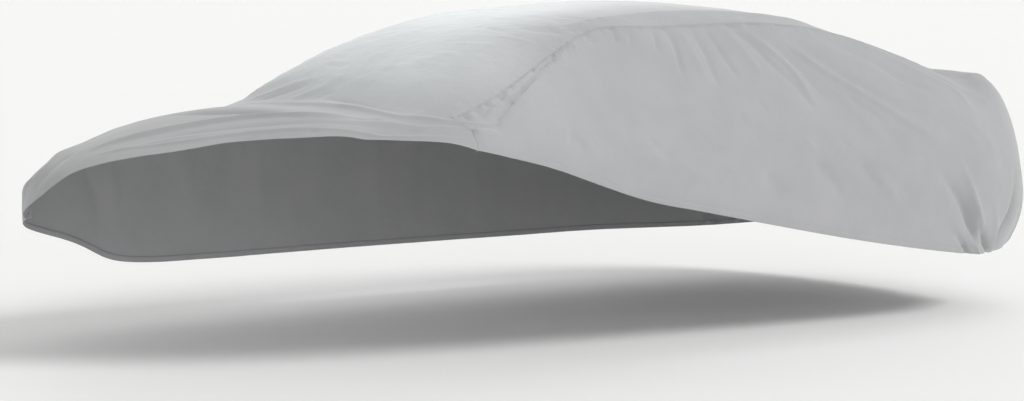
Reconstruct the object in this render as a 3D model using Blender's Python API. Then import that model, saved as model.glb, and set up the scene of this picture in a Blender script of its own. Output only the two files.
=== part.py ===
"""Draped car cover: a top panel and two side panels, sewn along two long seams.

The cover is drawn the way a pattern maker lofts it. Ribs run across it from the front hem to the
rear hem, and long lines join them: the crown line, the two seams, the shoulder, the waist and the
foot. A place on the cloth is a rib number (0 at the front hem, 18 at the rear hem) and a girth
number (0 on the crown line, 1 on the seam, 2 at the shoulder, 3 at the waist, 4 at the foot).

Row frame: +X to the rear, +Y to the right side, +Z up. The origin is the point under the roof cloth
where the cover is held, on the centre plane.
"""

import math
from typing import NamedTuple

import bmesh
import bpy
import numpy as np

# ---------------------------------------------------------------- driving sizes, in metres
ROOF_HEIGHT = 1.450          # underside of the roof cloth above the floor, at the origin
CLOTH = 0.0022               # cloth thickness in the field of a panel
HEM_CLOTH = 0.0030           # the turned hem is thicker
SEAM_GAP = 0.0008            # clearance between two panels along a seam

# ---------------------------------------------------------------- mesh density and finish
TOP_ROWS = 17                # rows of points across the top panel
SIDE_ROWS = 11               # rows of points down a side panel
SPACING = 0.078              # distance between columns of points along the cloth
SHARP_ANGLE = math.radians(50.0)
PANEL_COLOURS = ((0.46, 0.46, 0.47), (0.42, 0.42, 0.43), (0.42, 0.42, 0.43))
ROUGHNESS = 0.85


class Rib(NamedTuple):
    """One cross-section of the top panel, metres; heights are above the floor."""

    name: str
    crown_x: float
    crown_z: float
    seam_x: float
    seam_y: float
    seam_z: float
    roundness: float


RIBS = (
    Rib("front hem", -2.66, 0.300, -2.45, 0.62, 0.300, 2.6),
    Rib("nose", -2.71, 0.550, -2.475, 0.62, 0.525, 2.6),
    Rib("nose top", -2.605, 0.778, -2.41, 0.63, 0.720, 2.6),
    Rib("bonnet front", -2.28, 0.905, -2.155, 0.66, 0.840, 2.6),
    Rib("bonnet", -1.93, 0.975, -1.88, 0.70, 0.920, 2.6),
    Rib("bonnet rear", -1.66, 1.010, -1.615, 0.72, 0.942, 2.6),
    Rib("screen base", -1.47, 1.022, -1.395, 0.73, 0.975, 2.6),
    Rib("screen foot", -1.33, 1.135, -1.25, 0.725, 1.022, 3.0),
    Rib("screen", -1.06, 1.273, -0.97, 0.69, 1.130, 3.0),
    Rib("screen top", -0.58, 1.390, -0.525, 0.615, 1.330, 2.8),
    Rib("roof front", -0.18, 1.432, -0.20, 0.60, 1.366, 2.8),
    Rib("roof", 0.15, 1.457, 0.15, 0.59, 1.370, 2.8),
    Rib("roof rear", 0.60, 1.447, 0.60, 0.59, 1.377, 2.8),
    Rib("rear screen", 1.10, 1.374, 1.10, 0.60, 1.328, 2.6),
    Rib("rear screen base", 1.72, 1.174, 1.72, 0.61, 1.172, 2.6),
    Rib("deck", 2.02, 1.118, 2.015, 0.60, 1.110, 2.6),
    Rib("deck end", 2.30, 1.080, 2.27, 0.57, 1.074, 2.6),
    Rib("rear face", 2.44, 0.640, 2.39, 0.56, 0.645, 2.6),
    Rib("rear hem", 2.37, 0.285, 2.305, 0.54, 0.295, 2.6),
)
FOOT = 4.0                   # girth number of the foot line
FRONT_CORNER = 2.0           # rib where the seam turns down at the front corner
REAR_CORNER = 16.0           # rib where it turns down at the rear corner
LAST_RIB = len(RIBS) - 1


class Drop(NamedTuple):
    """One section of a side panel below the seam, metres; heights are above the floor."""

    name: str
    rib: float
    shoulder: tuple[float, float, float]
    waist: tuple[float, float, float]
    foot: tuple[float, float, float]


DROPS = (
    Drop("front corner", 2.5, (-2.39, 0.745, 0.685), (-2.37, 0.785, 0.49), (-2.31, 0.75, 0.28)),
    Drop("front wing", 3.0, (-2.12, 0.84, 0.785), (-2.10, 0.885, 0.56), (-2.08, 0.87, 0.27)),
    Drop("wing", 4.0, (-1.83, 0.87, 0.85), (-1.82, 0.935, 0.62), (-1.82, 0.925, 0.27)),
    Drop("wing rear", 5.0, (-1.56, 0.87, 0.885), (-1.56, 0.945, 0.66), (-1.56, 0.94, 0.27)),
    Drop("screen base", 6.0, (-1.35, 0.875, 0.90), (-1.35, 0.945, 0.68), (-1.35, 0.94, 0.27)),
    Drop("screen foot", 7.0, (-1.18, 0.88, 0.92), (-1.18, 0.945, 0.68), (-1.18, 0.94, 0.27)),
    Drop("screen", 8.0, (-0.90, 0.88, 0.93), (-0.90, 0.95, 0.68), (-0.90, 0.945, 0.27)),
    Drop("screen top", 9.0, (-0.50, 0.88, 0.93), (-0.50, 0.95, 0.68), (-0.50, 0.945, 0.27)),
    Drop("roof front", 10.0, (-0.17, 0.88, 0.93), (-0.17, 0.95, 0.68), (-0.17, 0.945, 0.27)),
    Drop("roof", 11.0, (0.15, 0.88, 0.93), (0.15, 0.95, 0.68), (0.15, 0.945, 0.27)),
    Drop("roof rear", 12.0, (0.60, 0.88, 0.935), (0.60, 0.95, 0.68), (0.60, 0.945, 0.27)),
    Drop("quarter", 13.0, (1.10, 0.88, 0.95), (1.10, 0.945, 0.68), (1.10, 0.94, 0.27)),
    Drop("haunch", 14.0, (1.70, 0.86, 0.96), (1.70, 0.925, 0.66), (1.69, 0.91, 0.26)),
    Drop("deck", 15.0, (2.05, 0.79, 0.95), (2.08, 0.865, 0.60), (2.03, 0.83, 0.27)),
    Drop("rear corner", 15.6, (2.275, 0.685, 0.95), (2.33, 0.745, 0.55), (2.25, 0.70, 0.285)),
)


class Lift(NamedTuple):
    """Where a hem crosses a rib: a girth number, on the side that the hem's table is for."""

    rib: float
    girth: float


BONNET_HEM = (
    Lift(1.0, 1.00), Lift(1.3, 0.52), Lift(2.0, 0.08), Lift(2.6, -0.33), Lift(3.3, -0.59),
    Lift(4.0, -0.85), Lift(4.45, -1.00), Lift(4.9, -1.43), Lift(5.5, -1.79), Lift(6.2, -2.13),
)
LEFT_HEM = (
    Lift(6.2, 2.13), Lift(7.0, 2.35), Lift(8.0, 2.63), Lift(9.0, 3.04), Lift(10.0, 3.24),
    Lift(11.0, 3.39), Lift(12.0, 3.58), Lift(13.0, 3.76), Lift(14.0, 3.91), Lift(15.0, 3.97),
    Lift(16.0, 4.0),
)
RIGHT_HEM = (
    Lift(2.0, 2.5), Lift(2.5, 3.1), Lift(3.0, 3.6), Lift(4.0, 3.95), Lift(5.0, 4.0),
    Lift(7.0, 4.0), Lift(16.0, 4.0),
)
BONNET_TIP = 1.0             # rib where the bonnet hem reaches the right seam
BONNET_TURN = 2.0            # rib where the bonnet hem nears the crown line and turns rearward
LEG_FOOT = 6.2               # rib where the left seam ends on the hem
LEG_TOP = 6.6                # rib where the left seam leaves the screen pillar


class Fold(NamedTuple):
    """A soft ridge (height above 0) or trough (below 0) between two places on the cloth."""

    name: str
    rib_a: float
    girth_a: float
    rib_b: float
    girth_b: float
    width: float
    height: float


FOLDS = (
    Fold("bonnet ridge, front", 2.3, 0.12, 4.6, -0.36, 0.055, 0.016),
    Fold("bonnet ridge, rear", 4.1, -0.32, 6.9, -1.87, 0.050, 0.018),
    Fold("screen base ridge", 6.2, 0.90, 6.3, -1.00, 0.045, 0.012),
    Fold("screen base ridge, side", 6.3, -0.80, 7.4, -1.60, 0.035, 0.010),
    Fold("screen hollow", 6.7, 0.80, 7.4, -0.10, 0.060, -0.010),
    Fold("pillar roll", 7.3, -1.42, 9.0, -1.05, 0.045, 0.012),
    Fold("roof pucker, front", 10.7, -1.03, 10.4, -1.60, 0.050, -0.009),
    Fold("roof pucker, rear", 11.3, -1.03, 11.6, -1.70, 0.050, -0.010),
    Fold("quarter ridge, upper", 11.7, -1.08, 12.4, -1.95, 0.050, 0.014),
    Fold("quarter ridge, long", 12.2, -1.15, 13.8, -2.70, 0.055, 0.018),
    Fold("rear shoulder hollow", 12.9, -1.07, 14.0, -1.45, 0.050, -0.010),
    Fold("deck corner ridge", 13.6, -1.15, 14.5, -1.85, 0.050, 0.012),
    Fold("rear corner hollow", 13.4, -2.60, 14.3, -3.80, 0.055, -0.020),
    Fold("rear corner ridge", 13.8, -2.60, 14.8, -3.95, 0.050, 0.022),
    Fold("rear corner tuck", 15.1, -2.90, 15.2, -3.90, 0.045, -0.016),
    Fold("side drape, upper", 11.9, -2.55, 12.6, -3.35, 0.060, -0.009),
    Fold("side drape, lower", 11.2, -2.80, 11.6, -3.30, 0.060, -0.008),
    Fold("right pillar roll", 7.3, 1.40, 9.0, 1.05, 0.045, 0.010),
    Fold("right roof pucker", 10.9, 1.03, 10.8, 1.60, 0.050, -0.009),
    Fold("right quarter ridge", 12.1, 1.12, 13.7, 2.60, 0.055, 0.016),
    Fold("right rear hollow", 13.5, 2.50, 14.4, 3.80, 0.055, -0.018),
    Fold("right rear ridge", 14.0, 2.60, 14.9, 3.95, 0.050, 0.020),
    Fold("right wing drape", 4.6, 1.50, 5.8, 3.60, 0.080, -0.012),
    Fold("right front ridge", 2.6, 1.20, 3.6, 3.60, 0.060, 0.014),
    Fold("rear face hollow", 16.6, 0.55, 17.9, 0.35, 0.070, -0.012),
    Fold("rear face ridge", 16.4, -0.30, 17.9, -0.50, 0.070, 0.012),
)


def spline(knots, values, at):
    """Natural cubic through the rows of values at the given knots, read at the places in at."""
    knots = np.asarray(knots, float)
    values = np.asarray(values, float)
    at = np.clip(np.asarray(at, float), knots[0], knots[-1])
    count = len(knots)
    step = np.diff(knots)
    slope = np.diff(values, axis=0) / step[:, None]
    matrix = np.eye(count)
    right = np.zeros_like(values)
    for row in range(1, count - 1):
        matrix[row, row - 1] = step[row - 1]
        matrix[row, row] = 2.0 * (step[row - 1] + step[row])
        matrix[row, row + 1] = step[row]
        right[row] = 6.0 * (slope[row] - slope[row - 1])
    bend = np.linalg.solve(matrix, right)
    low = np.clip(np.searchsorted(knots, at, side="right") - 1, 0, count - 2)
    span = step[low][..., None]
    after = (at - knots[low])[..., None]
    before = span - after
    cubic = (bend[low] * before**3 + bend[low + 1] * after**3) / (6.0 * span)
    start = (values[low] / span - bend[low] * span / 6.0) * before
    end = (values[low + 1] / span - bend[low + 1] * span / 6.0) * after
    return cubic + start + end


RIB_SIZES = np.array([rib[1:] for rib in RIBS])
RIB_NUMBERS = np.arange(len(RIBS), dtype=float)


def top_point(rib, across):
    """Point of the top panel; across runs from -1 on the left seam to 1 on the right seam."""
    size = spline(RIB_NUMBERS, RIB_SIZES, rib)
    fall = np.abs(across) ** size[..., 5]
    x = size[..., 0] + (size[..., 2] - size[..., 0]) * fall
    y = size[..., 3] * across
    z = size[..., 1] + (size[..., 4] - size[..., 1]) * fall
    return np.stack([x, y, z - ROOF_HEIGHT], axis=-1)


def corner_leg(corner, end, down):
    """Point of the right seam where it runs down a corner; down is 0 at the top and 3 at the foot."""
    return top_point(corner + (end - corner) * np.asarray(down, float) / 3.0, 1.0)


def drop_lines():
    """Knots and points of the shoulder, waist and foot lines of the right side panel."""
    floor = np.array([0.0, 0.0, ROOF_HEIGHT])
    thirds = np.array([1.0, 2.0, 3.0])
    knots = [FRONT_CORNER]
    rows = [corner_leg(FRONT_CORNER, 0.0, thirds).ravel()]
    for drop in DROPS:
        knots.append(drop.rib)
        rows.append(np.concatenate([np.array(point) - floor for point in drop[2:]]))
    knots.append(REAR_CORNER)
    rows.append(corner_leg(REAR_CORNER, LAST_RIB, thirds).ravel())
    return np.array(knots), np.array(rows)


DROP_KNOTS, DROP_ROWS = drop_lines()
CORNER_REACH = 0.8           # ribs over which a side panel takes up the shape of its corner seam


def girth_curve(points, down):
    """Natural cubic down a side panel through the seam, shoulder, waist and foot (points: n, 4, 3)."""
    base = np.eye(4)
    weights = spline(np.arange(4.0), base, down)
    return np.einsum("...k,...kj->...j", weights, points)


def side_point(rib, down):
    """Point of the right side panel; down is 0 on the seam, 1 shoulder, 2 waist and 3 foot."""
    rib = np.asarray(rib, float)
    down = np.asarray(down, float)
    seam = top_point(rib, 1.0)
    lines = spline(DROP_KNOTS, DROP_ROWS, rib).reshape(rib.shape + (3, 3))
    point = girth_curve(np.concatenate([seam[..., None, :], lines], axis=-2), down)
    for corner, end in ((FRONT_CORNER, 0.0), (REAR_CORNER, float(LAST_RIB))):
        edge = np.clip(1.0 - np.abs(rib - corner) / CORNER_REACH, 0.0, 1.0) ** 2
        leg = corner_leg(corner, end, np.arange(4.0))
        drawn = girth_curve(np.broadcast_to(leg, rib.shape + (4, 3)), down)
        point = point + edge[..., None] * (corner_leg(corner, end, down) - drawn)
    return point


def cloth_point(rib, girth):
    """Point of the whole cloth; girth is below 0 on the left half and above 0 on the right half."""
    rib, girth = np.broadcast_arrays(np.asarray(rib, float), np.asarray(girth, float))
    size = np.abs(girth)
    top = top_point(rib, np.clip(girth, -1.0, 1.0))
    side = side_point(rib, np.clip(size - 1.0, 0.0, 3.0))
    side = side * np.where(girth[..., None] < 0.0, (1.0, -1.0, 1.0), (1.0, 1.0, 1.0))
    return np.where((size > 1.0)[..., None], side, top)


def hem_girth(lifts, rib):
    """Girth number of a hem at a rib, never below the foot line."""
    knots = [lift.rib for lift in lifts]
    return np.minimum(spline(knots, [[lift.girth] for lift in lifts], rib)[..., 0], FOOT)


def even_ribs(first, last, girth):
    """Rib numbers from first to last, about SPACING apart along the cloth at a girth number."""
    fine = np.linspace(first, last, 400)
    steps = np.linalg.norm(np.diff(cloth_point(fine, girth), axis=0), axis=1)
    length = np.concatenate([[0.0], np.cumsum(steps)])
    count = max(2, round(length[-1] / SPACING) + 1)
    return np.interp(np.linspace(0.0, length[-1], count), length, fine)


def join(*parts):
    """Lists of rib numbers end to end, each shared end once."""
    return np.concatenate([parts[0]] + [part[1:] for part in parts[1:]])


def places(ribs, girths):
    """A list of (rib, girth) from two lists, or from one list and one value."""
    return np.stack(np.broadcast_arrays(ribs, girths), axis=-1).astype(float)


BONNET_LEG_RIBS = np.linspace(BONNET_TIP, FRONT_CORNER, SIDE_ROWS)
BONNET_RIBS = even_ribs(FRONT_CORNER, LEG_FOOT, 1.0)
PILLAR_RIBS = np.linspace(LEG_FOOT, LEG_TOP, SIDE_ROWS)
MAIN_RIBS = even_ribs(LEG_TOP, REAR_CORNER, 1.0)
REAR_LEG_RIBS = np.linspace(REAR_CORNER, LAST_RIB, SIDE_ROWS)
FRONT_FADE = 8               # how soon the columns forget the curve of the front edge


def top_places():
    """Places of the top panel: columns from front to rear, rows from the right seam to the left."""
    right_ribs = join(BONNET_LEG_RIBS, BONNET_RIBS, PILLAR_RIBS, MAIN_RIBS, REAR_LEG_RIBS)
    hem_ribs = np.linspace(BONNET_TURN, LEG_FOOT, len(BONNET_LEG_RIBS) + len(BONNET_RIBS) - 1)
    left = join(
        places(hem_ribs, hem_girth(BONNET_HEM, hem_ribs)),
        places(PILLAR_RIBS, np.linspace(-hem_girth(LEFT_HEM, LEG_FOOT), -1.0, SIDE_ROWS)),
        places(MAIN_RIBS, -1.0),
        places(REAR_LEG_RIBS, -1.0),
    )
    right = places(right_ribs, 1.0)
    across = np.linspace(0.0, 1.0, TOP_ROWS)[None, :, None]
    grid = right[:, None] * (1.0 - across) + left[:, None] * across
    front_ribs = np.linspace(BONNET_TIP, BONNET_TURN, TOP_ROWS)
    front = places(front_ribs, hem_girth(BONNET_HEM, front_ribs))
    fade = np.linspace(1.0, 0.0, len(right_ribs))[:, None, None] ** FRONT_FADE
    return grid + fade * (front - grid[0])[None]


def right_places():
    """Places of the right side panel: columns from front to rear, rows from the seam down."""
    ribs = join(BONNET_RIBS, PILLAR_RIBS, MAIN_RIBS)
    down = np.linspace(0.0, 1.0, SIDE_ROWS)[None, :]
    girths = 1.0 + (hem_girth(RIGHT_HEM, ribs)[:, None] - 1.0) * down
    return places(ribs[:, None], girths)


def left_places():
    """Places of the left side panel: columns from front to rear, rows from the seam to the hem."""
    hem_ribs = np.linspace(LEG_FOOT, REAR_CORNER, len(MAIN_RIBS))
    hem = places(hem_ribs, -hem_girth(LEFT_HEM, hem_ribs))
    seam = places(MAIN_RIBS, -1.0)
    down = np.linspace(0.0, 1.0, SIDE_ROWS)[None, :, None]
    return seam[:, None] * (1.0 - down) + hem[:, None] * down


def slopes(grid):
    """Unit normals of a grid of points, on the side away from the middle of the cover."""
    along = np.gradient(grid, axis=0)
    across = np.gradient(grid, axis=1)
    normal = np.cross(along, across)
    normal /= np.linalg.norm(normal, axis=-1, keepdims=True)
    middle = np.array([0.0, 0.0, -0.5 * ROOF_HEIGHT])
    return normal * np.sign(np.mean(np.sum(normal * (grid - middle), axis=-1)))


def seam_pairs(top, right, left):
    """Grid indices of the points that two panels share along the right and the left seam."""
    top_columns = np.arange(top.shape[0])
    last_row = top.shape[1] - 1
    right_last = right.shape[0] - 1
    left_last = left.shape[0] - 1
    rows = np.arange(SIDE_ROWS)
    flat = np.zeros(SIDE_ROWS, int)
    right_columns = np.concatenate([flat, np.arange(1, right_last), flat + right_last])
    right_rows = np.concatenate([rows[::-1], np.zeros(right_last - 1, int), rows])
    left_columns = np.concatenate([flat, np.arange(1, left_last), flat + left_last])
    left_rows = np.concatenate([rows[::-1], np.zeros(left_last - 1, int), rows])
    first_left = len(top_columns) - len(left_columns)
    return (
        ((top_columns, top_columns * 0), (right_columns, right_rows)),
        ((top_columns[first_left:], top_columns[first_left:] * 0 + last_row),
         (left_columns, left_rows)),
    )


def seam_slopes(grids):
    """Normals of the three grids, with one shared normal at each point of a seam."""
    top, right, left = (slopes(grid) for grid in grids)
    for (here, there), side in zip(seam_pairs(*grids), (right, left)):
        shared = top[here] + side[there]
        shared /= np.linalg.norm(shared, axis=-1, keepdims=True)
        top[here] = shared
        side[there] = shared
    return top, right, left


FOLD_POINTS = 9              # points along the line of a fold
FOLD_ENDS = 0.22             # share of a fold's length over which each end dies away


def fold_height(grid):
    """Height of all folds together at each point of a grid."""
    height = np.zeros(grid.shape[:2])
    for fold in FOLDS:
        share = np.linspace(0.0, 1.0, FOLD_POINTS)
        rib = fold.rib_a + (fold.rib_b - fold.rib_a) * share
        girth = fold.girth_a + (fold.girth_b - fold.girth_a) * share
        line = cloth_point(rib, girth)
        start = line[:-1]
        step = line[1:] - start
        offset = grid[:, :, None, :] - start
        place = np.clip(np.sum(offset * step, axis=-1) / np.sum(step * step, axis=-1), 0.0, 1.0)
        gap = np.linalg.norm(offset - place[..., None] * step, axis=-1)
        nearest = np.argmin(gap, axis=-1)
        distance = np.min(gap, axis=-1)
        along = np.take_along_axis(place, nearest[..., None], axis=-1)[..., 0] + nearest
        along = along / (FOLD_POINTS - 1)
        ends = np.clip(np.minimum(along, 1.0 - along) / FOLD_ENDS, 0.0, 1.0)
        ends = ends * ends * (3.0 - 2.0 * ends)
        height += fold.height * ends * np.exp(-((distance / fold.width) ** 2))
    return height


def panel_grids():
    """Outer points of the three panels, with their folds."""
    flat = [cloth_point(spots[..., 0], spots[..., 1])
            for spots in (top_places(), right_places(), left_places())]
    normals = seam_slopes(flat)
    return [grid + fold_height(grid)[..., None] * normal for grid, normal in zip(flat, normals)]


def hem_thickness(shape, on_seam):
    """Cloth thickness at each point: thicker on the outline, apart from the seams."""
    thickness = np.full(shape, CLOTH)
    edge = np.ones(shape, bool)
    edge[1:-1, 1:-1] = False
    edge[on_seam] = False
    thickness[edge] = HEM_CLOTH
    return thickness


def draw_back(grid, seam):
    """Move a panel's seam points half the seam gap towards its own middle."""
    moved = grid.copy()
    columns, rows = seam
    inner_columns = np.clip(columns, 1, grid.shape[0] - 2)
    inner_rows = np.clip(rows, 1, grid.shape[1] - 2)
    inward = grid[inner_columns, inner_rows] - grid[seam]
    inward /= np.linalg.norm(inward, axis=-1, keepdims=True)
    moved[seam] += inward * SEAM_GAP / 2.0
    return moved


def paint(name, colour, roughness):
    """A plain cloth material."""
    material = bpy.data.materials.new(name)
    material.use_nodes = True
    shader = material.node_tree.nodes["Principled BSDF"]
    shader.inputs["Base Color"].default_value = (*colour, 1.0)
    shader.inputs["Roughness"].default_value = roughness
    shader.inputs["Metallic"].default_value = 0.0
    return material


def add_panel(name, outer, inner, material, parent):
    """One closed sheet between an outer and an inner grid of points."""
    mesh = bpy.data.meshes.new(name)
    build = bmesh.new()
    columns, rows = outer.shape[:2]
    skins = [[[build.verts.new(point) for point in line] for line in grid] for grid in (outer, inner)]
    for skin in skins:
        for column in range(columns - 1):
            for row in range(rows - 1):
                corner = skin[column][row]
                across = skin[column + 1][row + 1]
                build.faces.new((corner, skin[column + 1][row], across))
                build.faces.new((corner, across, skin[column][row + 1]))
    rim = [(column, 0) for column in range(columns)]
    rim += [(columns - 1, row) for row in range(1, rows)]
    rim += [(column, rows - 1) for column in range(columns - 2, -1, -1)]
    rim += [(0, row) for row in range(rows - 2, 0, -1)]
    for here, there in zip(rim, rim[1:] + rim[:1]):
        a, b = (skins[0][column][row] for column, row in (here, there))
        c, d = (skins[1][column][row] for column, row in (there, here))
        build.faces.new((a, b, c))
        build.faces.new((a, c, d))
    bmesh.ops.recalc_face_normals(build, faces=build.faces)
    build.to_mesh(mesh)
    build.free()
    mesh.shade_smooth()
    mesh.set_sharp_from_angle(angle=SHARP_ANGLE)
    mesh.materials.append(material)
    panel = bpy.data.objects.new(name, mesh)
    panel.parent = parent
    bpy.context.scene.collection.objects.link(panel)
    return panel


def main():
    """Build the three panels under one empty at the point where the cover is held."""
    for old in list(bpy.data.objects):
        bpy.data.objects.remove(old, do_unlink=True)
    holder = bpy.data.objects.new("cover_hold", None)
    bpy.context.scene.collection.objects.link(holder)
    grids = panel_grids()
    normals = seam_slopes(grids)
    right_seam, left_seam = seam_pairs(*grids)
    seams = (
        tuple(np.concatenate(pair) for pair in zip(right_seam[0], left_seam[0])),
        right_seam[1],
        left_seam[1],
    )
    names = ("top_panel", "right_side_panel", "left_side_panel")
    for name, colour, grid, normal, seam in zip(names, PANEL_COLOURS, grids, normals, seams):
        outer = draw_back(grid, seam)
        depth = hem_thickness(grid.shape[:2], seam)[..., None]
        add_panel(name, outer, outer - depth * normal, paint(name + "_cloth", colour, ROUGHNESS), holder)


if __name__ == "__main__":
    main()
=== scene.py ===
"""Draped car cover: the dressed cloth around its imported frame.

Three panels of plain spunbond cloth, a top and two sides, meet along two long seams. Each panel is
one thin closed sheet on the surface that its solid follows, with its folds, seam puckers and turned
hem in the mesh, and rows of thread stitches laid along its edges.

A place on the cloth is a rib number (0 at the front hem, 18 at the rear hem) and a girth number (0 on
the crown line, 1 on the seam, 2 at the shoulder, 3 at the waist, 4 at the foot), below 0 on the left.
"""

import logging
import math
import random
from collections.abc import Callable
from dataclasses import dataclass, field, replace
from enum import Enum

import bpy
import numpy as np
from mathutils import Matrix, Vector, noise


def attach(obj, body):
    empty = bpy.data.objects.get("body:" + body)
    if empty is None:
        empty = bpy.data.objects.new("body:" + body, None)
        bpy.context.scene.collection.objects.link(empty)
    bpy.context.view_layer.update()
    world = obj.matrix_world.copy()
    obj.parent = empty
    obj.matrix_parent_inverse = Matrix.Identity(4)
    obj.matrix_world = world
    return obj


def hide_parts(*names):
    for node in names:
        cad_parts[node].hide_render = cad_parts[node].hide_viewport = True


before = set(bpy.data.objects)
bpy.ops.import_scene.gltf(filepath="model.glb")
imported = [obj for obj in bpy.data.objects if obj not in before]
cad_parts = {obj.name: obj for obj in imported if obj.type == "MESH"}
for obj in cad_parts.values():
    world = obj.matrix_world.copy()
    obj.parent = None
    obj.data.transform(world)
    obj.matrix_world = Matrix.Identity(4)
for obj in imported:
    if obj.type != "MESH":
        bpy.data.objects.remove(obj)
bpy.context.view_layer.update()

LOG = logging.getLogger("car_cover")
MM = 0.001
FOOT = 4.0  # girth number of the foot line
FRONT_CORNER = 2.0  # rib at which the seam starts down the front corner
REAR_CORNER = 16.0  # rib at which the seam starts down the rear corner
LAST_RIB = 18.0  # rib of the rear hem
LEG_RATE = 1.5  # girth numbers that a corner seam runs down for each rib
LEG_TOP = 6.6  # rib at which a short seam leaves the long left one
LEG_FOOT = 6.2  # rib at which it meets the drawn-up hem
TIP_RIB = 1.06  # rib of the nose tip, where the drawn-up hem starts
TIP_GIRTH = 2.41  # girth number of the right hem at the nose tip
SLOPE_END = 9.5  # rib at which the finer grid of the front slope ends
CREASE_STEPS = 6  # straight steps for each part of a crease's line
CREASE_REACH = 4.5  # widths from its line beyond which a crease has no effect
CREASE_SHARPNESS = 1.8  # how fast a crease falls off beside its line
LEAN_SHARPNESS = 4.0  # how fast the width of a leaning crease changes across its line


@dataclass(frozen=True)
class Rib:
    """One cross-section of the top panel, in metres; heights are above the floor."""

    name: str
    crown: tuple[float, float]
    seam: tuple[float, float, float]
    roundness: float


@dataclass(frozen=True)
class Drop:
    """One section of a side panel below the seam, in metres; heights are above the floor."""

    name: str
    rib: float
    shoulder: tuple[float, float, float]
    waist: tuple[float, float, float]
    foot: tuple[float, float, float]


RIBS = (
    Rib("front hem", (-2.66, 0.300), (-2.45, 0.62, 0.300), 2.6),
    Rib("nose", (-2.71, 0.550), (-2.475, 0.62, 0.525), 2.6),
    Rib("nose top", (-2.605, 0.778), (-2.41, 0.63, 0.720), 2.6),
    Rib("bonnet front", (-2.28, 0.905), (-2.155, 0.66, 0.840), 2.6),
    Rib("bonnet", (-1.93, 0.975), (-1.88, 0.70, 0.920), 2.6),
    Rib("bonnet rear", (-1.66, 1.010), (-1.615, 0.72, 0.942), 2.6),
    Rib("screen base", (-1.47, 1.022), (-1.395, 0.73, 0.975), 2.6),
    Rib("screen foot", (-1.33, 1.135), (-1.25, 0.725, 1.022), 3.0),
    Rib("screen", (-1.06, 1.273), (-0.97, 0.69, 1.130), 3.0),
    Rib("screen top", (-0.58, 1.390), (-0.525, 0.615, 1.330), 2.8),
    Rib("roof front", (-0.18, 1.432), (-0.20, 0.60, 1.366), 2.8),
    Rib("roof", (0.15, 1.457), (0.15, 0.59, 1.370), 2.8),
    Rib("roof rear", (0.60, 1.447), (0.60, 0.59, 1.377), 2.8),
    Rib("rear screen", (1.10, 1.374), (1.10, 0.60, 1.328), 2.6),
    Rib("rear screen base", (1.72, 1.174), (1.72, 0.61, 1.172), 2.6),
    Rib("deck", (2.02, 1.118), (2.015, 0.60, 1.110), 2.6),
    Rib("deck end", (2.30, 1.080), (2.27, 0.57, 1.074), 2.6),
    Rib("rear face", (2.44, 0.640), (2.39, 0.56, 0.645), 2.6),
    Rib("rear hem", (2.37, 0.285), (2.305, 0.54, 0.295), 2.6),
)

DROPS = (
    Drop("front corner", 2.5, (-2.39, 0.745, 0.685), (-2.37, 0.785, 0.49), (-2.31, 0.75, 0.28)),
    Drop("front wing", 3.0, (-2.12, 0.84, 0.785), (-2.10, 0.885, 0.56), (-2.08, 0.87, 0.27)),
    Drop("wing", 4.0, (-1.83, 0.87, 0.85), (-1.82, 0.935, 0.62), (-1.82, 0.925, 0.27)),
    Drop("wing rear", 5.0, (-1.56, 0.87, 0.885), (-1.56, 0.945, 0.66), (-1.56, 0.94, 0.27)),
    Drop("screen base", 6.0, (-1.35, 0.875, 0.90), (-1.35, 0.945, 0.68), (-1.35, 0.94, 0.27)),
    Drop("screen foot", 7.0, (-1.18, 0.88, 0.92), (-1.18, 0.945, 0.68), (-1.18, 0.94, 0.27)),
    Drop("screen", 8.0, (-0.90, 0.88, 0.93), (-0.90, 0.95, 0.68), (-0.90, 0.945, 0.27)),
    Drop("screen top", 9.0, (-0.50, 0.88, 0.93), (-0.50, 0.95, 0.68), (-0.50, 0.945, 0.27)),
    Drop("roof front", 10.0, (-0.17, 0.88, 0.93), (-0.17, 0.95, 0.68), (-0.17, 0.945, 0.27)),
    Drop("roof", 11.0, (0.15, 0.88, 0.93), (0.15, 0.95, 0.68), (0.15, 0.945, 0.27)),
    Drop("roof rear", 12.0, (0.60, 0.88, 0.935), (0.60, 0.95, 0.68), (0.60, 0.945, 0.27)),
    Drop("quarter", 13.0, (1.10, 0.88, 0.95), (1.10, 0.945, 0.68), (1.10, 0.94, 0.27)),
    Drop("haunch", 14.0, (1.70, 0.86, 0.96), (1.70, 0.925, 0.66), (1.69, 0.91, 0.26)),
    Drop("deck", 15.0, (2.05, 0.79, 0.95), (2.08, 0.865, 0.60), (2.03, 0.83, 0.27)),
    Drop("rear corner", 15.6, (2.275, 0.685, 0.95), (2.33, 0.745, 0.55), (2.25, 0.70, 0.285)),
)

# Hems: (rib, girth) where each hem crosses the ribs.
BONNET_HEM = (
    (1.0, 1.00), (1.3, 0.52), (2.0, 0.08), (2.6, -0.33), (3.3, -0.59),
    (4.0, -0.85), (4.45, -1.00), (4.9, -1.43), (5.5, -1.79), (6.2, -2.13),
)
LEFT_HEM = (
    (6.2, 2.13), (7.0, 2.35), (8.0, 2.63), (9.0, 3.04), (10.0, 3.24), (11.0, 3.39),
    (12.0, 3.58), (13.0, 3.76), (14.0, 3.91), (15.0, 3.97), (16.0, 4.0),
)
RIGHT_HEM = (
    (2.0, TIP_GIRTH), (2.5, 3.1), (3.0, 3.6), (4.0, 3.95), (5.0, 4.0), (7.0, 4.0), (16.0, 4.0),
)


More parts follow.
